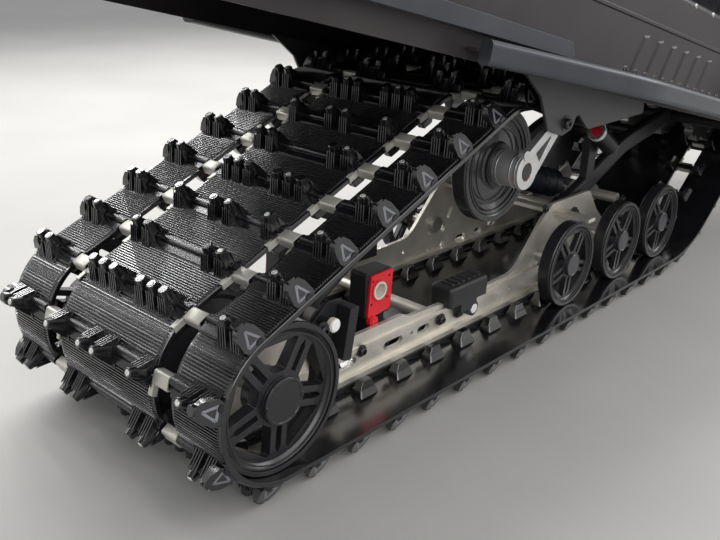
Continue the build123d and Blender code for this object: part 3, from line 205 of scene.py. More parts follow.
def metal(name, colour, roughness, stretch=(1, 1, 1), depth=0.00003, metallic=0.95):
    """Bare or plated metal, drawn along the short side of stretch."""
    made = Finish(name, colour, roughness, metallic)
    cloud = made.noise(0.04, 4)
    lines = made.noise(0.0008, 3, stretch)
    spots = made.noise(0.006, 3).step(0.62, 0.72)
    base = made.mix(cloud.step(0.25, 0.8), shade(colour, 0.82), colour)
    rough = lines * 0.18 + cloud * 0.12 + (roughness - 0.15) + spots * 0.08
    made.paint(made.mix(spots * 0.35, base, shade(colour, 0.6)), rough)
    made.relief(lines, depth, 0.0008)
    return made


def cast(name, colour):
    """Blasted cast aluminium."""
    made = Finish(name, colour, 0.42, 0.92)
    sand = made.noise(0.0011, 2)
    cloud = made.noise(0.03, 3)
    worn = made.worn(0.0015)
    base = made.mix(cloud.step(0.3, 0.75), shade(colour, 0.8), colour)
    made.paint(made.mix(worn * 0.5, base, shade(colour, 1.2)), sand * 0.22 + cloud * 0.1 + 0.26)
    made.relief(sand, 0.0001, 0.0012)
    return made


def lens(name, colour, roughness, alpha):
    """Clear moulded plastic."""
    made = Finish(name, colour, roughness, **{"Alpha": alpha, "Coat Weight": 0.6, "Coat Roughness": 0.05})
    made.relief(made.noise(0.02, 1), 0.00008)
    return made


RAIL_DRAW = (0.02, 1, 1)
WET = {"Coat Weight": 0.7, "Coat Roughness": 0.14}
LACQUER = {"Coat Weight": 0.5, "Coat Roughness": 0.08}

finishes = {made.name: made for made in (
    rubber("track_rubber", (0.006, 0.006, 0.0072), 0.23, **WET),
    rubber("belt_rubber", (0.006, 0.006, 0.0072), 0.2, 0.00003, **WET),
    rubber("track_gloss", (0.008, 0.008, 0.01), 0.22),
    rubber("track_worn", (0.16, 0.165, 0.18), 0.32),
    metal("stud_metal", (0.85, 0.85, 0.83), 0.3, metallic=0.8),
    metal("clip_zinc", (0.6, 0.585, 0.52), 0.42, metallic=0.45),
    metal("rail_alloy", (0.76, 0.72, 0.64), 0.42, RAIL_DRAW, metallic=0.7),
    plastic("slide_plastic", (0.012, 0.012, 0.013), 0.5),
    metal("zinc", (0.6, 0.6, 0.57), 0.36),
    plastic("wheel_plastic", (0.016, 0.016, 0.018), 0.27, 0.0007, 0.00003, 0.0012),
    plastic("wheel_gloss", (0.02, 0.0205, 0.022), 0.2, 0.002, 0.00001, 0.0012),
    plastic("hub_gloss", (0.05, 0.05, 0.055), 0.16, 0.002, 0.00001, 0.0009),
    rubber("tyre_band", (0.02, 0.02, 0.022), 0.36),
    cast("cast_alloy", (0.74, 0.74, 0.74)),
    painted("frame_black", (0.014, 0.014, 0.016), 0.4),
    metal("damper_alloy", (0.62, 0.62, 0.63), 0.26),
    painted("spring_steel", (0.42, 0.43, 0.45), 0.34, 0.7),
    plastic("pale_plastic", (0.62, 0.58, 0.5), 0.45),
    plastic("red_block", (0.62, 0.012, 0.02), 0.3, 0.0012, 0.00003),
    plastic("black_plastic", (0.014, 0.014, 0.015), 0.48, 0.0012, 0.00012),
    painted("tunnel_alloy", (0.03, 0.025, 0.026), 0.36, 0.3),
    painted("bracket_grey", (0.06, 0.06, 0.064), 0.4, 0.3),
    painted("edge_alloy", (0.045, 0.049, 0.058), 0.34, 0.3),
    rubber("flap_rubber", (0.014, 0.014, 0.015), 0.5),
    lens("lamp_red", (0.45, 0.01, 0.015), 0.12, 1.0),
    plastic("seat_vinyl", (0.016, 0.016, 0.018), 0.5, 0.0016, 0.00025, 0.002),
    plastic("body_plastic", (0.03, 0.03, 0.033), 0.24, 0.003, 0.00002, 0.002, **LACQUER),
    lens("lamp_clear", (0.75, 0.78, 0.8), 0.06, 0.35),
    lens("screen", (0.03, 0.032, 0.035), 0.05, 0.55),
    plastic("ski_plastic", (0.015, 0.015, 0.017), 0.38),
    rubber("grip_rubber", (0.013, 0.013, 0.014), 0.6),
    metal("bronze", (0.34, 0.17, 0.08), 0.4),
    metal("yellow_zinc", (0.55, 0.4, 0.16), 0.3),
    rubber("boot_rubber", (0.012, 0.016, 0.024), 0.4),
    painted("pale_enamel", (0.7, 0.7, 0.68), 0.3),
    plastic("white_plastic", (0.78, 0.78, 0.76), 0.4),
    plastic("seat_piping", (0.06, 0.06, 0.063), 0.35, 0.001, 0.0001),
    plastic("red_glow", (0.5, 0.012, 0.014), 0.15, 0.002, 0.00001),
    metal("bright_bowl", (0.8, 0.8, 0.82), 0.14, depth=0.000005),
    plastic("display_glass", (0.01, 0.012, 0.014), 0.08, 0.004, 0.000005),
)}

for part in frame["record"]["subparts"]:
    cad_node = frame["nodes"][part["node"]]
    cad_node.data.materials.clear()
    cad_node.data.materials.append(finishes[part["material_slot"]].material)


# Mesh kit, in millimetres


def where(node):
    """Lowest and highest corner of a CAD node, in millimetres."""
    low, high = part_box(node)
    return low / MM, high / MM


def blanks(count):
    return [bmesh.new() for _ in range(count)]


def added(name, data):
    """A new object in the scene."""
    made = bpy.data.objects.new(name, data)
    bpy.context.scene.collection.objects.link(made)
    return made


def as_mesh(name, form):
    """A mesh in metres with its faces turned outwards. The form is used up."""
    bmesh.ops.recalc_face_normals(form, faces=form.faces)
    mesh = bpy.data.meshes.new(name)
    form.to_mesh(mesh)
    form.free()
    mesh.transform(Matrix.Scale(MM, 4))
    return mesh


def piece(name, form, slot, finish=None, body="chassis", stands_for=(), crease=35.0):
    """Makes an object from a form, and fastens it to a CAD body. Without a finish it gets its slot's."""
    mesh = as_mesh(name, form)
    mesh.shade_smooth()
    mesh.set_sharp_from_angle(angle=radians(crease))
    mesh.materials.append(finishes[finish or slot].material)
    made = added(name, mesh)
    if stands_for:
        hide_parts(*stands_for)
    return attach(made, body)


def loft(form, rings, closed=False, caps=True):
    """Joins rings that have the same number of points. A closed loft runs back into its first ring."""
    rows = [[form.verts.new(p) for p in ring] for ring in rings]
    pairs = list(zip(rows, rows[1:]))
    if closed:
        pairs.append((rows[-1], rows[0]))
    for low, high in pairs:
        for i in range(len(low)):
            j = (i + 1) % len(low)
            form.faces.new((low[i], low[j], high[j], high[i]))
    if caps and not closed:
        form.faces.new(rows[0])
        form.faces.new(rows[-1][::-1])


def copies(form, pattern, placements):
    """Adds a copy of the pattern to the form at each placement matrix."""
    master = bpy.data.meshes.new("pattern")
    pattern.to_mesh(master)
    for placement in placements:
        copy = master.copy()
        copy.transform(placement)
        form.from_mesh(copy)
        bpy.data.meshes.remove(copy)
    bpy.data.meshes.remove(master)


def frame_at(origin, x_axis, y_axis):
    """A placement whose local x and y point along the given directions."""
    x, y = Vector(x_axis).normalized(), Vector(y_axis).normalized()
    placed = Matrix((x, y, x.cross(y))).transposed().to_4x4()
    placed.translation = Vector(origin)
    return placed


def disc(r, z, steps=24):
    """A ring of points round the local z axis."""
    return [(r * cos(2 * pi * k / steps), r * sin(2 * pi * k / steps), z) for k in range(steps)]


def turned(profile, steps=24):
    """A turned form round the local z axis, from (radius, z) points."""
    form = bmesh.new()
    loft(form, [disc(max(r, 0.05), z, steps) for r, z in profile])
    return form


def ring_band(inner, outer, low, high, steps=48):
    """A flat ring round the local z axis."""
    form = bmesh.new()
    corners = ((inner, low), (outer, low), (outer, high), (inner, high))
    loft(form, [disc(r, z, steps) for r, z in corners], closed=True)
    return form


def block(form, base, low, tip, high, cut=0.25):
    """A tapering block with chamfered corners: base and tip are (middle x, half x, middle y, half y)."""
    rings = []
    for (x, a, y, b), z in ((base, low), (tip, high)):
        c = min(a, b) * cut
        half = ((a, b - c), (a - c, b), (c - a, b), (-a, b - c))
        rings.append([(x + px, y + py, z) for px, py in half + tuple((-px, -py) for px, py in half)])
    loft(form, rings)


# The track's loop, from the wheels that it runs round

TRACK = {
    "half": 254.0, "belt": 7.0, "lug": 38.0, "window": 135.6, "window_wide": 38.0, "pitches": 44,
    "row_shift": 10.1, "row_long": 36.0, "tip_ahead": 1240.0, "tip_r": 260.0,
    "wheel_fit": 0.3, "tooth_fit": 0.5,
}
BELT_HALF = TRACK["belt"] / 2
FLOOR_INNER = TRACK["belt"] + TRACK["lug"]


def wheel_circle(node, gap):
    """(x, z, radius) of the belt's inner face round a CAD node of wheels."""
    low, high = where(node)
    return (low.x + high.x) / 2, (low.z + high.z) / 2, (high.x - low.x) / 2 + gap


REAR_X, REAR_Z, _ = wheel_circle("rear_wheels", 0)
LOOP_CIRCLES = (
    wheel_circle("rear_wheels", TRACK["wheel_fit"]),
    (REAR_X + TRACK["tip_ahead"], FLOOR_INNER + TRACK["tip_r"], TRACK["tip_r"]),
    wheel_circle("drive_axle", TRACK["tooth_fit"]),
    wheel_circle("upper_wheels", TRACK["wheel_fit"]),
)


def outward(first, second):
    """Outward direction of the belt's straight run from one circle to the next."""
    dx, dz = second[0] - first[0], second[1] - first[1]
    length = hypot(dx, dz)
    s = (first[2] - second[2]) / length
    c = sqrt(1 - s * s)
    return (c * dz + s * dx) / length, (s * dz - c * dx) / length


def loop_stretches():
    """Arcs and straight stretches of the belt's middle line, each with its length."""
    normals = [outward(LOOP_CIRCLES[i], LOOP_CIRCLES[(i + 1) % 4]) for i in range(4)]
    stretches = []
    for i, (cx, cz, r) in enumerate(LOOP_CIRCLES):
        start = atan2(normals[i - 1][1], normals[i - 1][0])
        turn = (atan2(normals[i][1], normals[i][0]) - start) % (2 * pi)
        r += BELT_HALF
        stretches.append(("arc", (cx, cz, r), start, r * turn))
        nx, nz = normals[i]
        jx, jz, jr = LOOP_CIRCLES[(i + 1) % 4]
        jr += BELT_HALF
        p, q = (cx + r * nx, cz + r * nz), (jx + jr * nx, jz + jr * nz)
        stretches.append(("line", (p, q), (nx, nz), hypot(q[0] - p[0], q[1] - p[1])))
    return stretches


STRETCHES = loop_stretches()
LOOP_LENGTH = sum(stretch[3] for stretch in STRETCHES)
PITCH = LOOP_LENGTH / TRACK["pitches"]


def on_loop(s):
    """(x, z) of the belt's middle line at distance s, and the outward direction there."""
    s %= LOOP_LENGTH
    for kind, place, way, length in STRETCHES:
        if s <= length:
            break
        s -= length
    if kind == "arc":
        cx, cz, r = place
        nx, nz = cos(way + s / r), sin(way + s / r)
        return cx + r * nx, cz + r * nz, nx, nz
    (px, pz), (qx, qz) = place
    return px + (qx - px) * s / length, pz + (qz - pz) * s / length, *way


def row_distance(k):
    return TRACK["row_shift"] + k * PITCH


def row_frame(k):
    """Placement of row k: local x along the loop, y to the right and z outward from the belt's middle."""
    x, z, nx, nz = on_loop(row_distance(k))
    return frame_at((x, 0, z), (-nz, 0, nx), (0, -1, 0))


# Belts: fine ribs across, between plain borders

RIB = {"count": 13, "high": 2.4, "border": 5.0, "bevel": 1.0}
RIB_SHAPE = ((0.0, 0.0), (0.2, 0.9), (0.38, 1.0), (0.56, 0.9), (0.74, 0.0))
BELT_CHAMFER = 0.8


def belt_samples():
    """(distance, rib height) down the whole loop."""
    samples = []
    bare = TRACK["row_long"] / 2 - 1
    step = (PITCH - 2 * bare) / RIB["count"]
    for k in range(TRACK["pitches"]):
        start = row_distance(k)
        samples += [(start - bare / 2, 0), (start, 0), (start + bare / 2, 0)]
        for i in range(RIB["count"]):
            foot = start + bare + i * step
            samples += [(foot + share * step, RIB["high"] * rise) for share, rise in RIB_SHAPE]
    return samples


def belt(name, v0, v1):
    """One belt between v0 and v1."""
    form = bmesh.new()
    top, shoulder = BELT_HALF, BELT_HALF - BELT_CHAMFER
    edge, slope = RIB["border"], RIB["border"] + RIB["bevel"]
    rings = []
    for s, rise in belt_samples():
        x, z, nx, nz = on_loop(s)
        section = (
            (v0, shoulder), (v0 + BELT_CHAMFER, top), (v0 + edge, top), (v0 + slope, top + rise),
            (v1 - slope, top + rise), (v1 - edge, top), (v1 - BELT_CHAMFER, top), (v1, shoulder),
            (v1, -top), (v0, -top),
        )
        rings.append([(x + nx * w, v, z + nz * w) for v, w in section])
    loft(form, rings, closed=True)
    piece(name, form, "track_rubber", "belt_rubber", crease=28)


window_in = TRACK["window"] - TRACK["window_wide"] / 2
window_out = TRACK["window"] + TRACK["window_wide"] / 2
belt("track_belt_middle", -window_in, window_in)
belt("track_belt_left", window_out, TRACK["half"])
belt("track_belt_right", -TRACK["half"], -window_out)


# Rows of lugs

# Half of each kind of row, in distances from the middle: towers and whether they hold a stud, combs, and low
# walls as (start, end, height). The last kind has one more wall and comb over the middle.
ROW_KINDS = (
    {"towers": ((32, False), (58, True), (84, False)), "combs": ((18, 97),),
     "walls": ((32, 58, 24), (58, 84, 24), (17, 32, 17), (84, 98, 17))},
    {"towers": ((70, False), (99, True)), "combs": ((56, 112),),
     "walls": ((70, 99, 24), (55, 70, 17), (99, 113, 17))},
    {"towers": ((17, True), (102, True)), "combs": ((88, 115),), "walls": ((17, 30, 15),)},
)
OUTER_TOWERS = ((207, True), (232, False))
OUTER_WALLS = ((207, 240, 26, 7), (191, 207, 17))
OUTER_COMB = (193, 244)
MIDDLE_WALL, MIDDLE_COMB = (-17, 17, 22), (-30, 30)
# (level, half along the loop, half across)
TOWER_RINGS = ((2.5, 16.5, 10.5), (9, 14, 9.6), (21, 10.4, 8.8), (33, 7.7, 7.6), (36.2, 7.2, 7.1),
               (36.9, 6.4, 6.3))
TOWER_STEPS, TOWER_ROUND_X, TOWER_ROUND_Y = 12, 0.7, 0.8
# Upright triangles on both faces of a tower or comb: thickness, foot, reach, lowest and highest level
FLUTE = (1.9, 9, 21.5, 3.2, 29)
FLUTE_PLACES = (-7.2, -2.4, 2.4, 7.2)
COMB_FIN = (1.2, 12, 24.5, 3.3, 8.6)
COMB_STEP = 3.4
# The sloping end of a row: (distance from the middle, level, half width, where it is rooted)
FLANK = ((253.4, 3.0, 13, 236), (250.5, 10, 18, 232), (243.5, 25, 15, 232), (239.5, 33.5, 9, 232))
# The triangle on it: foot, a point up its slope, half foot, height, and its bars' half width and rise
MARK_FOOT, MARK_HEAD, MARK_HALF, MARK_HIGH, MARK_BAR, MARK_RISE = (250.6, 10), (239.8, 33), 10, 19, 1.7, 1.3


def fins(form, y, shape):
    """Thin upright triangles on both faces of a row at y, high at their foot."""
    thick, foot, reach, low, high = shape
    for way in SIDES:
        corners = ((way * foot, low), (way * reach, low), (way * foot, high))
        loft(form, [[(x, v, z) for x, z in corners] for v in (y - thick / 2, y + thick / 2)])


def tower(form, y):
    """A round-topped column that widens to its foot, with flutes down both faces."""
    waves = []
    for i in range(TOWER_STEPS):
        c, s = cos(2 * pi * (i + 0.5) / TOWER_STEPS), sin(2 * pi * (i + 0.5) / TOWER_STEPS)
        waves.append((copysign(abs(c) ** TOWER_ROUND_X, c), copysign(abs(s) ** TOWER_ROUND_Y, s)))
    loft(form, [[(a * c, y + b * s, z) for c, s in waves] for z, a, b in TOWER_RINGS])
    for shift in FLUTE_PLACES:
        fins(form, y + shift, FLUTE)


def wall(form, y0, y1, high, thick=6):
    """A low wall between two towers."""
    middle, half = (y0 + y1) / 2, abs(y1 - y0) / 2
    block(form, (0, thick, middle, half), 3, (0, thick * 0.6, middle, half), high, 0.1)


def comb(form, y0, y1):
    """Fine fins along both feet of a group of towers."""
    count = int(abs(y1 - y0) / COMB_STEP)
    for i in range(count + 1):
        fins(form, y0 + (y1 - y0) * i / count, COMB_FIN)


def outer_flank(form, side):
    """The sloping six-sided end of a row."""
    rings = []
    for y, z, half, back in FLANK:
        corners = ((half, y), (-half, y), (-half * 0.9, back), (half * 0.9, back))
        rings.append([(x, side * v, z) for x, v in corners])
    loft(form, rings)


def triangle_mark(form, side):
    """Three raised bars in a triangle on the outer flank."""
    foot, head = (Vector((0, side * y, z)) for y, z in (MARK_FOOT, MARK_HEAD))
    up = (head - foot).normalized()
    out = Vector((1, 0, 0)).cross(up) * side
    corners = [foot - Vector((MARK_HALF, 0, 0)), foot + Vector((MARK_HALF, 0, 0)), foot + up * MARK_HIGH]
    rise = out * MARK_RISE
    for p, q in zip(corners, corners[1:] + corners[:1]):
        across = (q - p).normalized().cross(out) * MARK_BAR
        section = (-across, across, across + rise, rise - across)
        loft(form, [[end + step for step in section] for end in (p, q)])


def row_bar():
    """The moulded ridge across the belts, the flat shelf beside it, and the bare rod at the windows."""
    form = bmesh.new()
    top, end = BELT_HALF, TRACK["half"] - 1
    arc = [(-6.5 + 6.2 * cos(pi * i / 10), top + 1 + 6.4 * sin(pi * i / 10) ** 0.75) for i in range(11)]
    for y0, y1 in ((-end, -window_out), (-window_in, window_in), (window_out, end)):
        middle, half = (y0 + y1) / 2, abs(y1 - y0) / 2
        block(form, (0, 17, middle, half), top - 1, (0, 16.2, middle, half), top + 1.3, 0.02)
        block(form, (8.6, 6.6, middle, half - 1), top + 1, (8.6, 5.6, middle, half - 1.5), top + 3.2, 0.1)
        loft(form, [[(x, y, z) for x, z in arc] for y in (y0, y1)])
    rod = [(7.0 * cos(2 * pi * i / 14), 0.4 + 6.2 * sin(2 * pi * i / 14)) for i in range(14)]
    for side in SIDES:
        loft(form, [[(x, side * y, z) for x, z in rod] for y in (window_in - 2, window_out + 2)])
    return form


def row_lugs(kind):
    """Towers, walls and flanks of one kind of row, and its triangle marks and combs."""
    form, marks, combs = blanks(3)
    for side in SIDES:
        for y, _ in (*kind["towers"], *OUTER_TOWERS):
            tower(form, side * y)
        for y0, y1, *size in (*kind["walls"], *OUTER_WALLS):
            wall(form, side * y0, side * y1, *size)
        for y0, y1 in (*kind["combs"], OUTER_COMB):
            comb(combs, side * y0, side * y1)
        outer_flank(form, side)
        triangle_mark(marks, side)
    if kind is ROW_KINDS[2]:
        wall(form, *MIDDLE_WALL)
        comb(combs, *MIDDLE_COMB)
    return form, marks, combs


def kind_of(k):
    n = k if k < TRACK["pitches"] // 2 else k - TRACK["pitches"]
    return (-n) % 3


def stud():
    """A bright round insert in a tower's tip."""
    low, rim, tip = 35.6, 37.3, 38.0
    return turned([(0, low), (4.3, low), (4.3, rim), (3.4, tip), (1.2, tip), (0.9, rim), (0, rim)], 12)


def clip():
    """A folded steel clip over the rod, with a leg down each of its sides."""
    form = bmesh.new()
    half, foot, shoulder = 10.8, -4.5, 6
    bend = [(4 * cos(pi / 2 * i / 4), 4 * sin(pi / 2 * i / 4)) for i in range(5)]
    outer = [(-half, foot), (-half, shoulder)] + [(-6.8 - x, 6.2 + z) for x, z in bend[1:]]
    outer += [(6.8 + z, 6.2 + x) for x, z in bend[:4]] + [(half, shoulder), (half, foot)]
    inner = [(x * 0.82, z - 1.8 if z > 5.2 else z) for x, z in reversed(outer)]
    rings = []
    for y, inset in ((-15.5, 0.6), (-14.9, 0), (14.9, 0), (15.5, 0.6)):
        rings.append([(x * (1 - inset / 12), y, z - inset * 0.5) for x, z in outer + inner])
    loft(form, rings)
    return form


def clip_leg(side):
    """The clip's long leg, folded round the middle belt's edge."""
    form = bmesh.new()
    y = side * (window_in + 1.2)
    block(form, (13, 17, y, 1.1), -3.4, (13, 16, y, 1.1), 5.2, 0.1)
    block(form, (13, 16, y - side * 3.4, 3.4), 4.6, (13, 15.4, y - side * 3.4, 3.2), 5.8, 0.1)
    return form


def drive_lug():
    """One lug on the belt's inner face: a broad foot and a narrow tooth."""
    form = bmesh.new()
    low = 0.5 - BELT_HALF
    block(form, (0, 21, 0, 14.5), low, (0, 17, 0, 9.5), low - 11, 0.12)
    block(form, (0, 17.5, 0, 8.5), low - 10, (0, 10.5, 0, 6.5), low - 24.3, 0.12)
    return form


rows, marks, combs, bars, studs, clips, guides = blanks(7)
every_row = [row_frame(k) for k in range(TRACK["pitches"])]
copies(bars, row_bar(), every_row)
for number, kind in enumerate(ROW_KINDS):
    frames = [placed for k, placed in enumerate(every_row) if kind_of(k) == number]
    for form, pattern in zip((rows, marks, combs), row_lugs(kind)):
        copies(form, pattern, frames)
    places = [side * y for y, studded in (*kind["towers"], *OUTER_TOWERS) if studded for side in SIDES]
    copies(studs, stud(), [placed @ Matrix.Translation((0, y, 0)) for placed in frames for y in places])


def beside(distance):
    """Placements at a distance to both sides of the middle of every row."""
    return [placed @ Matrix.Translation((0, side * distance, 0)) for placed in every_row for side in SIDES]


copies(clips, clip(), beside(TRACK["window"]))
for side in SIDES:
    copies(clips, clip_leg(side), every_row)
for distance in (171.5, 99.5):
    copies(guides, drive_lug(), beside(distance))
piece("track_lugs", rows, "track_rubber", stands_for=("track",), crease=32)
piece("track_bars", bars, "track_rubber", "track_gloss", crease=40)
piece("track_marks", marks, "track_rubber", "track_worn", crease=30)
piece("track_combs", combs, "track_rubber", crease=30)
piece("track_studs", studs, "zinc", "stud_metal")
piece("track_clips", clips, "zinc", "clip_zinc")
piece("track_drive_lugs", guides, "track_rubber")


# Places and fastenings

# The tunnel's foot line falls from a place over the skid to the front, and its top runs along it
FOOT = {"ahead": 285, "above": 435, "fall": tan(radians(11.6)), "to_top": 200.3}


def foot_z(x):
    """Height of the tunnel's foot line at x."""
    return REAR_Z + FOOT["above"] - FOOT["fall"] * (x - REAR_X - FOOT["ahead"])


def tunnel_top(x):
    return foot_z(x) + FOOT["to_top"]


def sideways(x, y, z, side):
    """A placement whose local z points out to the given side and local x forward."""
    return frame_at((x, y, z), (1, 0, 0), (0, 0, -side))


def both_sides(spots):
    """Placements at (x, |y|, z) on both sides, facing outwards."""
    return [sideways(x, side * y, z, side) for x, y, z in spots for side in SIDES]


def pair(ahead, y, above):
    """Placements on both sides, facing outwards, at a place seen from the rear axle."""
    return both_sides([(REAR_X + ahead, y, REAR_Z + above)])


def along(a, b):
    """A placement at a whose local z points to b."""
    z = (Vector(b) - Vector(a)).normalized()
    x = Vector((0, 1, 0)) if abs(z.y) < 0.9 else Vector((1, 0, 0))
    y = z.cross(x).normalized()
    return frame_at(a, y.cross(z), y)


def between(a, b, start, end):
    """The places at two shares of the way from a to b."""
    a, b = Vector(a), Vector(b)
    return a + (b - a) * start, a + (b - a) * end


def tube(form, points, r):
    """An eight-sided bar along a list of points."""
    points = [Vector(p) for p in points]
    rings = []
    for i, p in enumerate(points):
        way = points[min(i + 1, len(points) - 1)] - points[max(i - 1, 0)]
        placed = along(p, p + way)
        rings.append([placed @ Vector(q) for q in disc(r, 0, 8)])
    loft(form, rings)


def hex_bolt(r):
    """A flanged hexagon head on the plane z = 0."""
    form = turned([(0, -1.5), (r * 1.5, -1.5), (r * 1.5, r * 0.12), (r * 1.2, r * 0.3), (0, r * 0.3)], 20)
    loft(form, [disc(r * a, r * b, 6) for a, b in ((1, 0.2), (1, 0.8), (0.84, 0.98), (0.5, 0.9))])
    return form


def socket_bolt(r):
    """A round button head with a hexagon socket."""
    head = [(0, -1.5), (r * 1.5, -1.5), (r * 1.5, 1), (r, 1.2), (r, r * 0.75), (r * 0.8, r), (r * 0.45, r)]
    form = turned(head, 20)
    loft(form, [disc(r * 0.45, r, 6), disc(r * 0.42, r * 0.4, 6)])
    return form


def fittings(name, slot, finish, *groups, body="chassis"):
    """A piece made of small forms. Each group is a pattern and its placements."""
    form = bmesh.new()
    for pattern, placements in groups:
        copies(form, pattern, placements)
    piece(name, form, slot, finish, body)


# Wheels: tyre bands, hub caps, rings on the upper wheels

UPPER_X, UPPER_Z, _ = LOOP_CIRCLES[3]
REAR_FACE, WHEEL_FACE = 238.0, 217.0
REAR_R, BOGIE_R, UPPER_R = 108.0, 86.0, 95.0
BOGIES_AHEAD = (802.0, 1019.0, 1220.0)
# (share of the cap's radius, level)
CAP_PROFILE = ((0, 0.3), (1, 0.3), (1, 3.6), (0.95, 4.6), (0.9, 4.8), (0.86, 3.9), (0, 4.1))

rear_wheels = pair(0, REAR_FACE, 0)
bogie_wheels = both_sides([(REAR_X + ahead, WHEEL_FACE, FLOOR_INNER + BOGIE_R) for ahead in BOGIES_AHEAD])
upper_wheels = both_sides([(UPPER_X, WHEEL_FACE, UPPER_Z)])
bands = [(ring_band(r, r + 1.6, -4, -1.5), upper_wheels) for r in (60, 74)]
for r, wheels in ((REAR_R, rear_wheels), (BOGIE_R, bogie_wheels), (UPPER_R, upper_wheels)):
    bands.append((ring_band(r - 7.5, r - 1.4, -0.6, 0.7), wheels))
    bands.append((ring_band(r * 0.845, r * 0.865, -0.6, 0.5), wheels))
rear_cap = turned([(p * 34, q * 1.25) for p, q in CAP_PROFILE], 40)
bogie_cap = turned([(p * 23, q) for p, q in CAP_PROFILE], 32)
nick = bmesh.new()
block(nick, (0, 2.4, 0, 4.2), 0, (0, 1.8, 0, 3.4), 1.4)
steps = [Matrix.Rotation(pi / 3 * k, 4, "Z") @ Matrix.Translation((31, 0, 5)) for k in range(6)]
nicks = [placed @ step for placed in rear_wheels for step in steps]
hub_rings = [(ring_band(14, 37, -2, 1.6, 40), upper_wheels), (ring_band(14, 33, 1.4, 3.0, 40), upper_wheels)]
fittings("wheel_tyre_bands", "track_rubber", "tyre_band", *bands)
fittings("wheel_hub_caps", "wheel_plastic", None, (rear_cap, rear_wheels), (nick, nicks))
fittings("bogie_hub_caps", "wheel_plastic", "hub_gloss", (bogie_cap, bogie_wheels))
fittings("upper_hub_rings", "black_plastic", None, *hub_rings)


# Upper arms: bushing, retaining ring, machined rings and zinc tabs

BORE_FACE, BORE_R = 259.4, 14.8
BOSS_RING_FACES = (226, 252, 262)
TAB_AHEAD, TAB_Y, TAB_ABOVE = 621.5, 252, 314.5
bores = both_sides([(UPPER_X, BORE_FACE, UPPER_Z)])
bosses = both_sides([(UPPER_X, face, UPPER_Z) for face in BOSS_RING_FACES])
bushing = turned([(8.6, 0.2), (BORE_R, 0.2), (BORE_R, 7.5), (13.2, 8.4), (10.2, 8.4), (9.2, 7.0)], 32)
star = bmesh.new()
teeth = [(13.6 if k % 2 else 10.8, 2 * pi * k / 24) for k in range(24)]
loft(star, [[(r * cos(a), r * sin(a), z) for r, a in teeth] for z in (8.2, 9.6)])
tabs = []
for side in SIDES:
    tab = bmesh.new()
    block(tab, (0, 15, 0, 17), 0, (0, 14.4, 0, 16.4), 2.2)
    block(tab, (0, 15, -side * 15.5, 1.2), 0, (0, 15, -side * 15.5, 1.2), 21, 0.1)
    tabs.append((tab, [sideways(REAR_X + TAB_AHEAD, side * TAB_Y, REAR_Z + TAB_ABOVE, side)]))
fittings("upper_arm_bushings", "pale_plastic", "bronze", (bushing, bores))
fittings("upper_arm_retainers", "frame_black", None, (star, bores))
fittings("upper_arm_rings", "cast_alloy", "damper_alloy", (ring_band(28.6, 29.5, 0, 2.2, 40), bosses))
fittings("bracket_tabs", "zinc", "yellow_zinc", *tabs)


# Bolts, rail marks and the red plates' rims. Further bolts join these lists later.

RAIL_BOLT_Y, STOP_Y, BRACKET_FACE, PLATE_FACE = 144.2, 178.0, 278.6, 125.3
# (ahead, above, radius)
RAIL_BOLTS = ((165, 33, 8), (260, -52, 7), (471, -62, 7.5), (524, -64, 7.5), (925, 45, 8), (1150, 30, 7),
              (1235, -62, 7), (800, 78, 6))
# (ahead, y, above)
WHITE_DISCS = ((552, 158.2, -60), (160, STOP_Y, 36))
PLATE_RIVETS = ((303, 121, 50), (343, 121, 52), (301, 121, 10), (340, 121, 14))
BRACKET_BOLTS = ((700, BRACKET_FACE, 355), (790, BRACKET_FACE, 335))

rivet = turned([(0, 0.2), (2.4, 0.2), (2.4, 1.2), (0, 1.6)], 10)
disc_form = turned([(0, 0), (9.5, 0), (9.5, 1.6), (7.6, 2.4), (4.75, 2.0), (0, 2.0)])
button = turned([(0, 0), (7, 0), (7, 1.5), (4.2, 1.5), (4.2, 0.4), (0, 0.4)], 20)
black_bolts = [(socket_bolt(r), pair(ahead, RAIL_BOLT_Y, above)) for ahead, above, r in RAIL_BOLTS]
black_bolts += [(socket_bolt(8.5), pair(134, STOP_Y, 37)), (socket_bolt(9), pair(588, BRACKET_FACE, 298))]
black_bolts += [(rivet, pair(*place)) for place in PLATE_RIVETS]
black_bolts += [(hex_bolt(6), pair(*place)) for place in BRACKET_BOLTS]
white_discs = [(disc_form, pair(*place)) for place in WHITE_DISCS]
red_rims = [(ring_band(16, 18.6, -1, 1.4, 40), pair(320, PLATE_FACE, 31)), (button, pair(305, 129.2, -20))]
stop_ridges = bmesh.new()
for ahead in range(494, 590, 16):
    x, z = REAR_X + ahead, REAR_Z - 2.4
    for y in (-136, 136):
        block(stop_ridges, (x, 3.2, y, 15), z, (x, 2.4, y, 14), z + 2.2, 0.2)
piece("stop_ridges", stop_ridges, "black_plastic")


# Gas reservoir, coil springs and the ribbed boot


def helix(form, a, b, r, turns, wire=4.4):
    """A coil spring from a to b with closed ends."""
    placed = along(a, b)
    length = (b - a).length - 2 * wire
    points = []
    steps = 18 * turns
    for i in range(steps + 1):
        angle = 2 * pi * turns * i / steps
        points.append(placed @ Vector((r * cos(angle), r * sin(angle), wire + length * i / steps)))
    tube(form, points, wire)


def boot(form, a, b, r, turns):
    """A ribbed rubber sleeve."""
    length = (b - a).length
    steps = turns * 6
    ribs = [(r - 2.6 + 2.6 * cos(pi / 3 * (i % 6)), length * i / steps) for i in range(steps + 1)]
    copies(form, turned([(r - 8, 0), *ribs, (r - 8, length)], 32), [along(a, b)])


def skid_damper(top, low):
    """Ends of the sleeve on a damper in the skid, from the damper's own ends as (ahead, above)."""
    return between(*((REAR_X + ahead, 0, REAR_Z + above) for ahead, above in (top, low)), 0.12, 0.86)


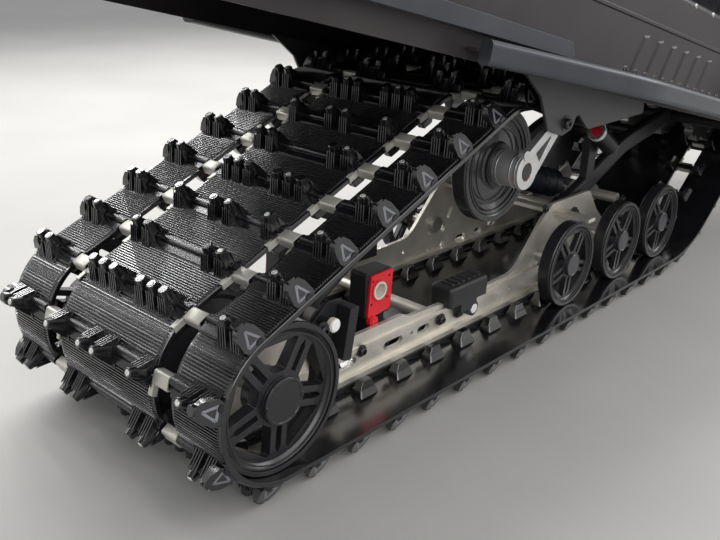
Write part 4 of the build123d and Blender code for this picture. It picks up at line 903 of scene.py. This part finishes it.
TANK_Y = -140.3
coils, boots = blanks(2)
tank, tank_end = Vector((REAR_X + 981, TANK_Y, REAR_Z + 211)), Vector((REAR_X + 1057, TANK_Y, REAR_Z + 166))
in_tank = [along(tank, tank_end)]
tank_cap = turned([(0, -1.4), (10, -1.4), (12.4, 0), (12.4, 3), (0, 3)], 32)
sleeves = [(turned([(0, 0.6), (16.5, 0.6), (19.6, 3.4), (19.6, 11), (0, 11)], 32), in_tank)]
boot(boots, *skid_damper((585, 200), (1150, 30)), 33, 12)
helix(coils, *skid_damper((1300, 160), (1235, -62)), 24.2, 6)
for side in SIDES:
    a, b = between((900, side * 228, 612), (926.8, side * 355.8, 240.6), 0.12, 0.84)
    helix(coils, a, b, 23.4, 8)
    sleeves.append((ring_band(16.2, 25, 0, 4, 32), [along(a, b), along(b, a)]))
piece("skid_boot", boots, "spring_steel", "boot_rubber", stands_for=("springs",), crease=50)
piece("coil_springs", coils, "spring_steel", crease=60)
fittings("damper_sleeves", "damper_alloy", "pale_enamel", *sleeves)
fittings("reservoir_cap", "red_block", None, (tank_cap, in_tank))
jacket = ring_band(18.6, 19.5, 11.2, (tank_end - tank).length - 2, 32)
fittings("reservoir_jacket", "damper_alloy", "frame_black", (jacket, in_tank))


# Tunnel, running boards and their edges

TUNNEL_FACE = 282.0
PRESSING_XS = range(-372, 12, 64)
PRESSING_LEAN, PRESSING_LOW, PRESSING_HIGH, PRESSING_WIDE = 52, 16, 104, 26
# Long swages on the tunnel's side: (start, end, height over the foot line)
SWAGES = ((-1480, -700, 150), (-640, 540, 128))
SWAGE_SECTION = ((-0.6, -5), (2.0, -2.5), (2.0, 2.5), (-0.6, 5))
TOOTH_XS, TOOTH_Y = range(-590, 238, 36), 378.0
TOOTH_STRIP = ((TOOTH_Y, 1), (380.5, 1), (380.5, 17), (TOOTH_Y, 17))
TREAD_XS, TREAD_YS, TREAD_SLOPE = range(-525, 245, 55), (-317.3, 317.3, -360.3, 360.3), (1, 0, -0.205)
# Rows of bolts down the tunnel's side, with their height over the foot line
EDGE_BOLTS = ((range(-1440, -378, 118), 182), (range(-500, 268, 96), 190))
EDGE_BOLT_Y = 282.2
BUMPER_BOLTS = ((-1500, 52), (-1440, 50))

ribs, teeth = blanks(2)
for x in PRESSING_XS:
    low, high = foot_z(x) + PRESSING_LOW, foot_z(x + PRESSING_LEAN) + PRESSING_HIGH
    top, wide = x + PRESSING_LEAN - 8, PRESSING_WIDE
    for side in SIDES:
        rings = []
        for out, inset in ((-0.6, 0), (2.8, 4.5)):
            foot = (x + inset, low + inset), (x + wide - inset, low + inset)
            head = (top + wide - inset, high - inset), (top + inset, high - inset)
            rings.append([(px, side * (TUNNEL_FACE + out), pz) for px, pz in foot + head])
        loft(ribs, rings)
for side in SIDES:
    for *ends, above in SWAGES:
        section = [(side * (TUNNEL_FACE + out), above + h) for out, h in SWAGE_SECTION]
        loft(ribs, [[(x, y, foot_z(x) + h) for y, h in section] for x in ends])
    loft(teeth, [[(x, side * y, foot_z(x) + h) for y, h in TOOTH_STRIP] for x in (-596, 236)])
tooth = turned([(2.6, 0), (7.2, 0), (7.2, 2.4), (2.6, 2.4), (2.6, 0.1)], 14)
copies(teeth, tooth, both_sides([(x, TOOTH_Y, foot_z(x) + 19.5) for x in TOOTH_XS]))
tread_places = [frame_at((x, y, foot_z(x) + 4), TREAD_SLOPE, (0, 1, 0)) for x in TREAD_XS for y in TREAD_YS]
piece("tunnel_pressings", ribs, "tunnel_alloy", crease=25)
piece("board_teeth", teeth, "tunnel_alloy")
fittings("board_treads", "tunnel_alloy", "edge_alloy", (ring_band(9.4, 12.2, -1, 4.2, 16), tread_places))
dome = turned([(0, -0.5), (5.2, -0.5), (4.6, 1.2), (2.6, 2.0), (0, 2.2)], 14)
zinc_bolts = []
for xs, above in EDGE_BOLTS:
    zinc_bolts.append((dome, both_sides([(x, EDGE_BOLT_Y, foot_z(x) + above) for x in xs])))
black_bolts.append((hex_bolt(7), both_sides([(x, 296, foot_z(x) + above) for x, above in BUMPER_BOLTS])))


# Seat: a swollen cover over foam, then its piping and the pads' cross seams

SEAT_REAR, SEAT_HALF = REAR_X + 150, 165.0
# Upper line of the seat: (x from its rear end, height over the rear end's tunnel top)
SEAT_LINE = ((0, 120), (14, 150), (40, 163), (200, 148), (330, 133), (400, 122), (440, 98), (480, 66),
             (530, 44), (640, 22), (760, -1), (860, -20), (930, -34), (968, -46), (992, -66), (1006, -100))
# One side of the foam: (inset from its half width, share of its height)
FOAM_SIDE = ((7, 0), (1, 0.14), (0, 0.45), (6, 0.74), (22, 0.92), (52, 0.99))
FOAM_RINGS, FOAM_STEP, FOAM_INSET, FOAM_UNDER = 42, 24.2, 8, 23
# The cover rests on what lies lower than this over the tunnel
REST_HEIGHT = 36
CLOTH_STEPS = 20


def seat_top(x):
    """Height of the seat's upper line at a distance from its rear end."""
    for (x0, h0), (x1, h1) in zip(SEAT_LINE, SEAT_LINE[1:]):
        if x <= x1:
            break
    share = min(1.0, max(0.0, (x - x0) / (x1 - x0)))
    return tunnel_top(SEAT_REAR) + h0 + (h1 - h0) * share


def seat_form():
    """The seat's foam a little inside its cover."""
    form = bmesh.new()
    rings = []
    for i in range(FOAM_RINGS):
        x = 3 + i * FOAM_STEP
        low = tunnel_top(SEAT_REAR + x) + FOAM_UNDER
        high = max(seat_top(x) - 9, low + 12)
        tall = high - low
        half = [(SEAT_HALF - FOAM_INSET - inset, low + tall * share) for inset, share in FOAM_SIDE]
        half.append((0, high))
        rings.append([(SEAT_REAR + x, y, z) for y, z in half + [(-y, z) for y, z in reversed(half[:-1])]])
    loft(form, rings)
    return form


def baked(made):
    """Applies an object's modifiers to its mesh."""
    seen = made.evaluated_get(bpy.context.evaluated_depsgraph_get())
    mesh = bpy.data.meshes.new_from_object(seen)
    made.modifiers.clear()
    made.data = mesh


def swell(made, voxel, pressure, furthest):
    """Blows a cover up with cloth simulation. Its underside stays where it rests."""
    remesh = made.modifiers.new("remesh", "REMESH")
    remesh.mode = "VOXEL"
    remesh.voxel_size = voxel
    baked(made)
    rest = [v.co.copy() for v in made.data.vertices]
    fixed = made.vertex_groups.new(name="rest")
    for v in made.data.vertices:
        if v.co.z / MM < tunnel_top(v.co.x / MM) + REST_HEIGHT:
            fixed.add([v.index], 1.0, "REPLACE")
    cloth = made.modifiers.new("cloth", "CLOTH")
    cloth.settings.use_pressure = True
    cloth.settings.uniform_pressure_force = pressure
    cloth.settings.vertex_group_mass = "rest"
    cloth.settings.effector_weights.gravity = 0
    cloth.point_cache.frame_start, cloth.point_cache.frame_end = 1, CLOTH_STEPS
    for step in range(1, CLOTH_STEPS + 1):
        bpy.context.scene.frame_set(step)
    baked(made)
    for v, start in zip(made.data.vertices, rest):
        moved = v.co - start
        if moved.length > furthest:
            v.co = start + moved.normalized() * furthest
    bpy.context.scene.frame_set(1)
    smooth = made.modifiers.new("smooth", "SUBSURF")
    smooth.levels = smooth.render_levels = 1
    baked(made)
    made.data.shade_smooth()


def on_cover(tree, points, lift):
    """Points moved on to the cover, and lifted off it a little."""
    placed = []
    for p in points:
        spot, normal, _, _ = tree.find_nearest(Vector(p) * MM)
        placed.append((spot + normal * lift * MM) / MM)
    return placed


seat = piece("seat_cover", seat_form(), "seat_vinyl", stands_for=("seat",), crease=60)
swell(seat, voxel=0.008, pressure=4.0, furthest=0.016)
cover, piping = blanks(2)
cover.from_mesh(seat.data)
tree = BVHTree.FromBMesh(cover)
PIPING_Y = SEAT_HALF - 22
for side in SIDES:
    stations = [14 + 17.6 * i for i in range(56)]
    line = [(SEAT_REAR + x, side * PIPING_Y, seat_top(x) - 4) for x in stations]
    tube(piping, on_cover(tree, line, 0.9), 2.6)
for x in (396, 560, 900):
    line = [(SEAT_REAR + x, PIPING_Y * (i / 12 - 1), seat_top(x)) for i in range(25)]
    tube(piping, on_cover(tree, line, 0.5), 2.0)
cover.free()
piece("seat_piping", piping, "seat_vinyl", "seat_piping", crease=60)


# Rear: tail lamp lines and flap ribs

LAMP_X, FLAP_X = -1492.8, -1519.5
lamp_lines, flap_ribs = blanks(2)
lamp_z = foot_z(-1495) + 200
for h in range(9, 41, 8):
    x, z = LAMP_X + h * 0.1, lamp_z + h
    block(lamp_lines, (x - 0.5, 3.2, 0, 104), z, (x, 2.2, 0, 102), z + 3.4, 0.05)
piece("tail_lamp_lines", lamp_lines, "lamp_red", "red_glow")
flap_z = foot_z(-1515)
for y in range(-220, 260, 40):
    block(flap_ribs, (FLAP_X, 3.4, y, 5), flap_z - 40, (FLAP_X + 1, 2.2, y, 4), flap_z + 16, 0.2)
piece("flap_ribs", flap_ribs, "flap_rubber")


# Steering: ribs on the grips, and the display

POST = Vector((REAR_X + 1450, 0, 1040))
TILT = radians(27)
BAR = POST + Vector((-sin(TILT), 0, cos(TILT))) * 10
grip_ribs, display = blanks(2)
for side in SIDES:
    placed = along(BAR + Vector((-92, side * 395, 6)), BAR + Vector((-40, side * 190, 62)))
    profile = [(11.6, -5)]
    for i in range(26):
        z = -4 + i * 4.6
        profile += [(17.2, z), (18.6, z + 1.0), (18.6, z + 2.6), (17.2, z + 3.6)]
    profile.append((11.6, 119))
    loft(grip_ribs, [[placed @ Vector(p) for p in disc(r, z)] for r, z in profile])
piece("grip_ribs", grip_ribs, "grip_rubber", body="steering", crease=60)
dash_low, dash_high = where("dash")
block(display, (0, 78, 0, 30), -6, (0, 76, 0, 28), 1.6, 0.3)
on_dash = frame_at((dash_low.x + 40, 0, dash_high.z - 14), (0, 1, 0), (0.92, 0, 0.38))


# Front: lamp bowls and housings, ski bolts

NOSE_SLOPE = Vector((0.505, 0, 0.863))
# The lamp's opening seen from the front: (y, z)
LAMP_VIEW = ((78, 585), (150, 600), (205, 640), (170, 668), (82, 640))
LAMP_MIDDLE = (136, 628)
# (y, z, radius)
BOWLS = ((108, 622, 24), (158, 640, 19))
# (share of the bowl's radius, depth)
BOWL_PROFILE = ((1, 0), (0.94, 5), (0.75, 14), (0.4, 20), (0.38, 22), (1.08, 22), (1.08, 0))
SKI_X, SKI_BOLT_Z, LEG_FACES = 955, 118, (526.5, 433.5)


def nose_x(z):
    """x of the nose's sloping crown at a height."""
    return 1045 + (702 - z) * 1.711


def lamp_x(y, z, sweep):
    """x of the lamp's front, which sweeps back towards its outer end."""
    return nose_x(z) - max(0, y - 150) * sweep


bowls, housings = [], bmesh.new()
for side in SIDES:
    for y, z, r in BOWLS:
        front = Vector((lamp_x(y, z, 0.4), side * y, z)) - NOSE_SLOPE * 22
        placed = along(front, front - NOSE_SLOPE * 10 - Vector((6, 0, 0)))
        bowls.append((turned([(r * share, depth) for share, depth in BOWL_PROFILE], 28), [placed]))
    rings = []
    for depth, share in ((17, 0.98), (48, 0.8)):
        ring = []
        for y, z in LAMP_VIEW:
            dy, dz = (y - LAMP_MIDDLE[0]) * share, (z - LAMP_MIDDLE[1]) * share
            p = Vector((lamp_x(y, z, 0.9), LAMP_MIDDLE[0] + dy, LAMP_MIDDLE[1] + dz)) - NOSE_SLOPE * depth
            ring.append((p.x, side * p.y, p.z))
        rings.append(ring)
    loft(housings, rings, caps=False)
    housings.verts.ensure_lookup_table()
    housings.faces.new([housings.verts[-1 - i] for i in range(5)])
fittings("lamp_bowls", "lamp_clear", "bright_bowl", *bowls)
piece("lamp_housings", housings, "black_plastic")
for side, name in ((1, "left"), (-1, "right")):
    heads = [sideways(SKI_X, side * face, SKI_BOLT_Z, out) for face, out in zip(LEG_FACES, (side, -side))]
    fittings(f"ski_bolt_{name}", "zinc", None, (hex_bolt(11), heads), body=f"front_leg_{name}")
fittings("black_bolts", "frame_black", None, *black_bolts)
fittings("zinc_bolts", "zinc", None, *zinc_bolts)
fittings("white_markers", "pale_plastic", "white_plastic", *white_discs)
fittings("red_rims", "red_block", None, *red_rims)
fittings("display", "black_plastic", "display_glass", (display, [on_dash]))


# Body: smooth skins over the hood, the side panels and the console

# (ahead, then half width and height of sill, waist, shoulder and crown edge)
BODY_ROWS = (
    (1500, (300, 470), (345, 640), (312, 800), (165, 915)),
    (1720, (318, 425), (378, 590), (350, 745), (205, 880)),
    (1960, (298, 402), (382, 552), (352, 690), (215, 806)),
    (2200, (240, 402), (330, 518), (300, 620), (185, 702)),
    (2395, (150, 424), (215, 490), (195, 545), (120, 588)),
)
# (ahead, then half width and height of waist, shoulder and crown edge), on the tunnel's top
CONSOLE_ROWS = (
    (1166, (118, 700), (104, 762), (52, 786)),
    (1300, (150, 720), (134, 836), (70, 866)),
    (1480, (158, 720), (146, 850), (84, 888)),
)
# The nose's rounded end: (ahead of the last section, share of its size)
NOSE_RINGS = ((3.5, 0.985), (6.5, 0.94), (7.5, 0.86))
# Seam between the hood and the side panels: (ahead, z)
SEAM = ((1380, 803.6), (2560, 503.2), (2560, 506.6), (1380, 807))
# Wheel arch over a ski's leg: (ahead of the ski's bolt, z)
ARCH = ((-190, 250), (110, 250), (110, 300), (63, 522), (-113, 562), (-192, 462))
SKIN_LIFT, SKIN_BULGE, SKIN_THICK = 1.6, (5.0, 6.0, 7.0, 5.0), 2.6
SKIN_CREASE = 24


def curve_value(values, i, t):
    """Smooth curve through values, at a share t of the way from value i to the next."""
    p1, p2 = values[i], values[i + 1]
    p0 = values[i - 1] if i else 2 * p1 - p2
    p3 = values[i + 2] if i + 2 < len(values) else 2 * p2 - p1
    return p1 + 0.5 * t * (p2 - p0 + t * (2 * p0 - 5 * p1 + 4 * p2 - p3 + t * (3 * (p1 - p2) + p3 - p0)))


def skin_corner(rows, i, t, corner):
    """(y, z) of one of a shell's long edges between rows i and i + 1, never inside the straight line."""
    ys, zs = zip(*(row[1 + corner] for row in rows))
    y = max(curve_value(ys, i, t), ys[i] + (ys[i + 1] - ys[i]) * t)
    straight = zs[i] + (zs[i + 1] - zs[i]) * t
    z = curve_value(zs, i, t)
    return y, (min if corner == 0 else max)(z, straight)


def skin_half(rows, i, t):
    """Points of a shell's left half from sill to crown."""
    corners = [skin_corner(rows, i, t, c) for c in range(4)]
    corners.append((0, corners[3][1] + 4))
    half = []
    for (y0, z0), (y1, z1), bulge in zip(corners, corners[1:], SKIN_BULGE):
        length = hypot(y1 - y0, z1 - z0)
        out_y, out_z = (z1 - z0) / length, (y0 - y1) / length
        for k in range(5):
            s = k / 5
            rise = SKIN_LIFT + bulge * 4 * s * (1 - s)
            half.append((y0 + (y1 - y0) * s + out_y * rise, z0 + (z1 - z0) * s + out_z * rise))
    half.append((0, corners[4][1] + SKIN_LIFT))
    return half


def skin_sheet(rows, nose=()):
    """A shell's outer sheet, open below and behind. nose rounds off its front end."""
    form = bmesh.new()
    rings = []
    last = len(rows) - 2
    for i in range(last + 1):
        for k in range(9 if i == last else 8):
            x = REAR_X + rows[i][0] + (rows[i + 1][0] - rows[i][0]) * k / 8
            half = skin_half(rows, i, k / 8)
            rings.append([(x, y, z) for y, z in half] + [(x, -y, z) for y, z in reversed(half[:-1])])
    end = rings[-1]
    levels = [z for _, _, z in end]
    middle = (min(levels) + max(levels)) / 2
    for ahead, share in nose:
        rings.append([(x + ahead, y * share, middle + (z - middle) * share) for x, y, z in end])
    grid = [[form.verts.new(p) for p in ring] for ring in rings]
    for low, high in zip(grid, grid[1:]):
        for corners in zip(low, low[1:], high[1:], high):
            form.faces.new(corners)
    if nose:
        form.faces.new(grid[-1])
    return form


def prism(points, axis, low, high):
    """A closed prism: points in the other two coordinates, from low to high along the axis."""
    form = bmesh.new()
    for_x = axis == "x"
    loft(form, [[(c, a, b) if for_x else (a, c, b) for a, b in points] for c in (low, high)])
    return form


def post_hole():
    """A cylinder with room for the steering post."""
    hole = bmesh.new()
    loft(hole, [[along(POST, BAR) @ Vector(p) for p in disc(22, z, 32)] for z in (-320, 0)])
    return hole


def cut(made, forms):
    """Cuts closed forms out of a piece."""
    for form in forms:
        mesh = as_mesh("cutter", form)
        cutter = added("cutter", mesh)
        difference = made.modifiers.new("cut", "BOOLEAN")
        difference.object = cutter
        difference.solver = "EXACT"
        baked(made)
        bpy.data.objects.remove(cutter)
        bpy.data.meshes.remove(mesh)


def skin_piece(name, form):
    """A shell's sheet with a thickness."""
    made = piece(name, form, "body_plastic", crease=SKIN_CREASE)
    solid = made.modifiers.new("thickness", "SOLIDIFY")
    solid.thickness = SKIN_THICK * MM
    solid.offset = -1
    baked(made)
    return made


console_rows = []
for ahead, waist, *others in CONSOLE_ROWS:
    sill = (waist[0], tunnel_top(REAR_X + ahead) + 2)
    console_rows.append((ahead, sill, waist, *others))
console = skin_piece("console_skin", skin_sheet(console_rows))
cut(console, [post_hole()])
skin = skin_piece("body_skin", skin_sheet(BODY_ROWS, NOSE_RINGS))
arch = [(SKI_X + ahead, z) for ahead, z in ARCH]
openings = [prism([(REAR_X + ahead, z) for ahead, z in SEAM], "y", -900, 900)]
for side in SIDES:
    openings.append(prism(arch, "y", *sorted((side * 190, side * 520))))
    openings.append(prism([(side * y, z) for y, z in LAMP_VIEW], "x", 960, 1300))
cut(skin, [*openings, post_hole()])
skin.data.set_sharp_from_angle(angle=radians(SKIN_CREASE))

bezels = bmesh.new()
for side in SIDES:
    rim = [(lamp_x(y, z, 1.35) + 1, side * y, z + 1) for y, z in LAMP_VIEW]
    for ends in zip(rim, rim[1:] + rim[:1]):
        tube(bezels, ends, 3.2)
piece("lamp_bezels", bezels, "black_plastic")


# Camera, floor and light

# The photograph's view: place in millimetres, directions of the picture's right and up, and focal length
CAMERA_PLACE = Vector((-1820.8, -954.0, 717.6))
CAMERA_RIGHT = Vector((0.6734, -0.7383, 0.0373))
CAMERA_UP = Vector((0.2440, 0.2695, 0.9315))
CAMERA_LENS = 42.47
FLOOR_HALF = 14.0
FLOOR_COLOUR = (0.44, 0.43, 0.41)
BACKDROP_WHITE = (0.93, 0.93, 0.92)
# Tube lamps across the ceiling, which every rib of the belts mirrors to the camera as a thin line
TUBE_FIRST_X, TUBE_STEP, TUBE_SIZE = -3.2, 0.95, (0.12, 4.2)
TUBE_POWERS = (27, 27, 47, 47, 47, 47, 47)
# Name, place, target, size and power
SOFT_LAMPS = (
    ("ceiling_soft", (0.6, 0.6, 3.8), (0, 0, 0.3), (4.0, 3.0), 14),
    ("side_soft", (-2.8, -3.6, 2.4), (-0.4, 0, 0.2), (3.0, 2.0), 70),
    ("floor_soft", (-0.2, -3.2, 3.2), (-0.6, -2.0, 0), (3.4, 2.0), 48),
    ("front_soft", (3.6, -2.4, 2.4), (0.6, 0, 0.5), (2.0, 2.0), 55),
)


def make_camera():
    data = bpy.data.cameras.new("camera")
    data.sensor_width = 36
    data.lens = CAMERA_LENS
    camera = added("camera", data)
    placed = Matrix((CAMERA_RIGHT, CAMERA_UP, CAMERA_RIGHT.cross(CAMERA_UP))).transposed().to_4x4()
    placed.translation = CAMERA_PLACE * MM
    camera.matrix_world = placed
    bpy.context.scene.camera = camera


def make_floor():
    finish = Finish("pale_floor", FLOOR_COLOUR, 0.42)
    cloud = finish.noise(0.9, 5)
    base = finish.mix(cloud.step(0.3, 0.7), shade(FLOOR_COLOUR, 0.94), shade(FLOOR_COLOUR, 1.06))
    finish.paint(base, cloud * 0.2 + 0.56)
    mesh = bpy.data.meshes.new("floor")
    corners = [(x * FLOOR_HALF, y * FLOOR_HALF, 0) for x, y in ((-1, -1), (1, -1), (1, 1), (-1, 1))]
    mesh.from_pydata(corners, [], [(0, 1, 2, 3)])
    mesh.materials.append(finish.material)
    floor = added("floor", mesh)
    floor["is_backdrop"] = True


def make_light(name, place, target, size, power):
    """A soft rectangular lamp that points at target."""
    data = bpy.data.lights.new(name, "AREA")
    data.shape = "RECTANGLE"
    data.size, data.size_y = size
    data.energy = power
    lamp = added(name, data)
    lamp.location = place
    lamp.rotation_mode = "QUATERNION"
    lamp.rotation_quaternion = (Vector(target) - Vector(place)).to_track_quat("-Z", "Y")


def make_world():
    """Pale light from all round, and a plain pale background for the camera, metal and glass."""
    world = bpy.data.worlds.new("studio")
    bpy.context.scene.world = world
    world.use_nodes = True
    tree = world.node_tree
    light = tree.nodes["Background"]
    light.inputs["Color"].default_value = (0.9, 0.93, 1.0, 1)
    light.inputs["Strength"].default_value = 0.5
    shown = tree.nodes.new("ShaderNodeBackground")
    shown.inputs["Color"].default_value = (*BACKDROP_WHITE, 1)
    shown.inputs["Strength"].default_value = 0.9
    path = tree.nodes.new("ShaderNodeLightPath")
    seen = path.outputs["Is Camera Ray"]
    for other in ("Is Glossy Ray", "Is Transmission Ray"):
        add = tree.nodes.new("ShaderNodeMath")
        add.use_clamp = True
        tree.links.new(seen, add.inputs[0])
        tree.links.new(path.outputs[other], add.inputs[1])
        seen = add.outputs[0]
    mix = tree.nodes.new("ShaderNodeMixShader")
    for i, socket in enumerate((seen, light.outputs[0], shown.outputs[0])):
        tree.links.new(socket, mix.inputs[i])
    tree.links.new(mix.outputs[0], tree.nodes["World Output"].inputs["Surface"])


make_camera()
make_floor()
make_world()
for i, power in enumerate(TUBE_POWERS):
    x = TUBE_FIRST_X + TUBE_STEP * i
    make_light(f"ceiling_tube_{i}", (x, 2.2, 3.3), (x - 0.05, -0.6, 0.2), TUBE_SIZE, power)
for lamp in SOFT_LAMPS:
    make_light(*lamp)

bpy.context.scene.view_settings.view_transform = "Standard"

low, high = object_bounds()
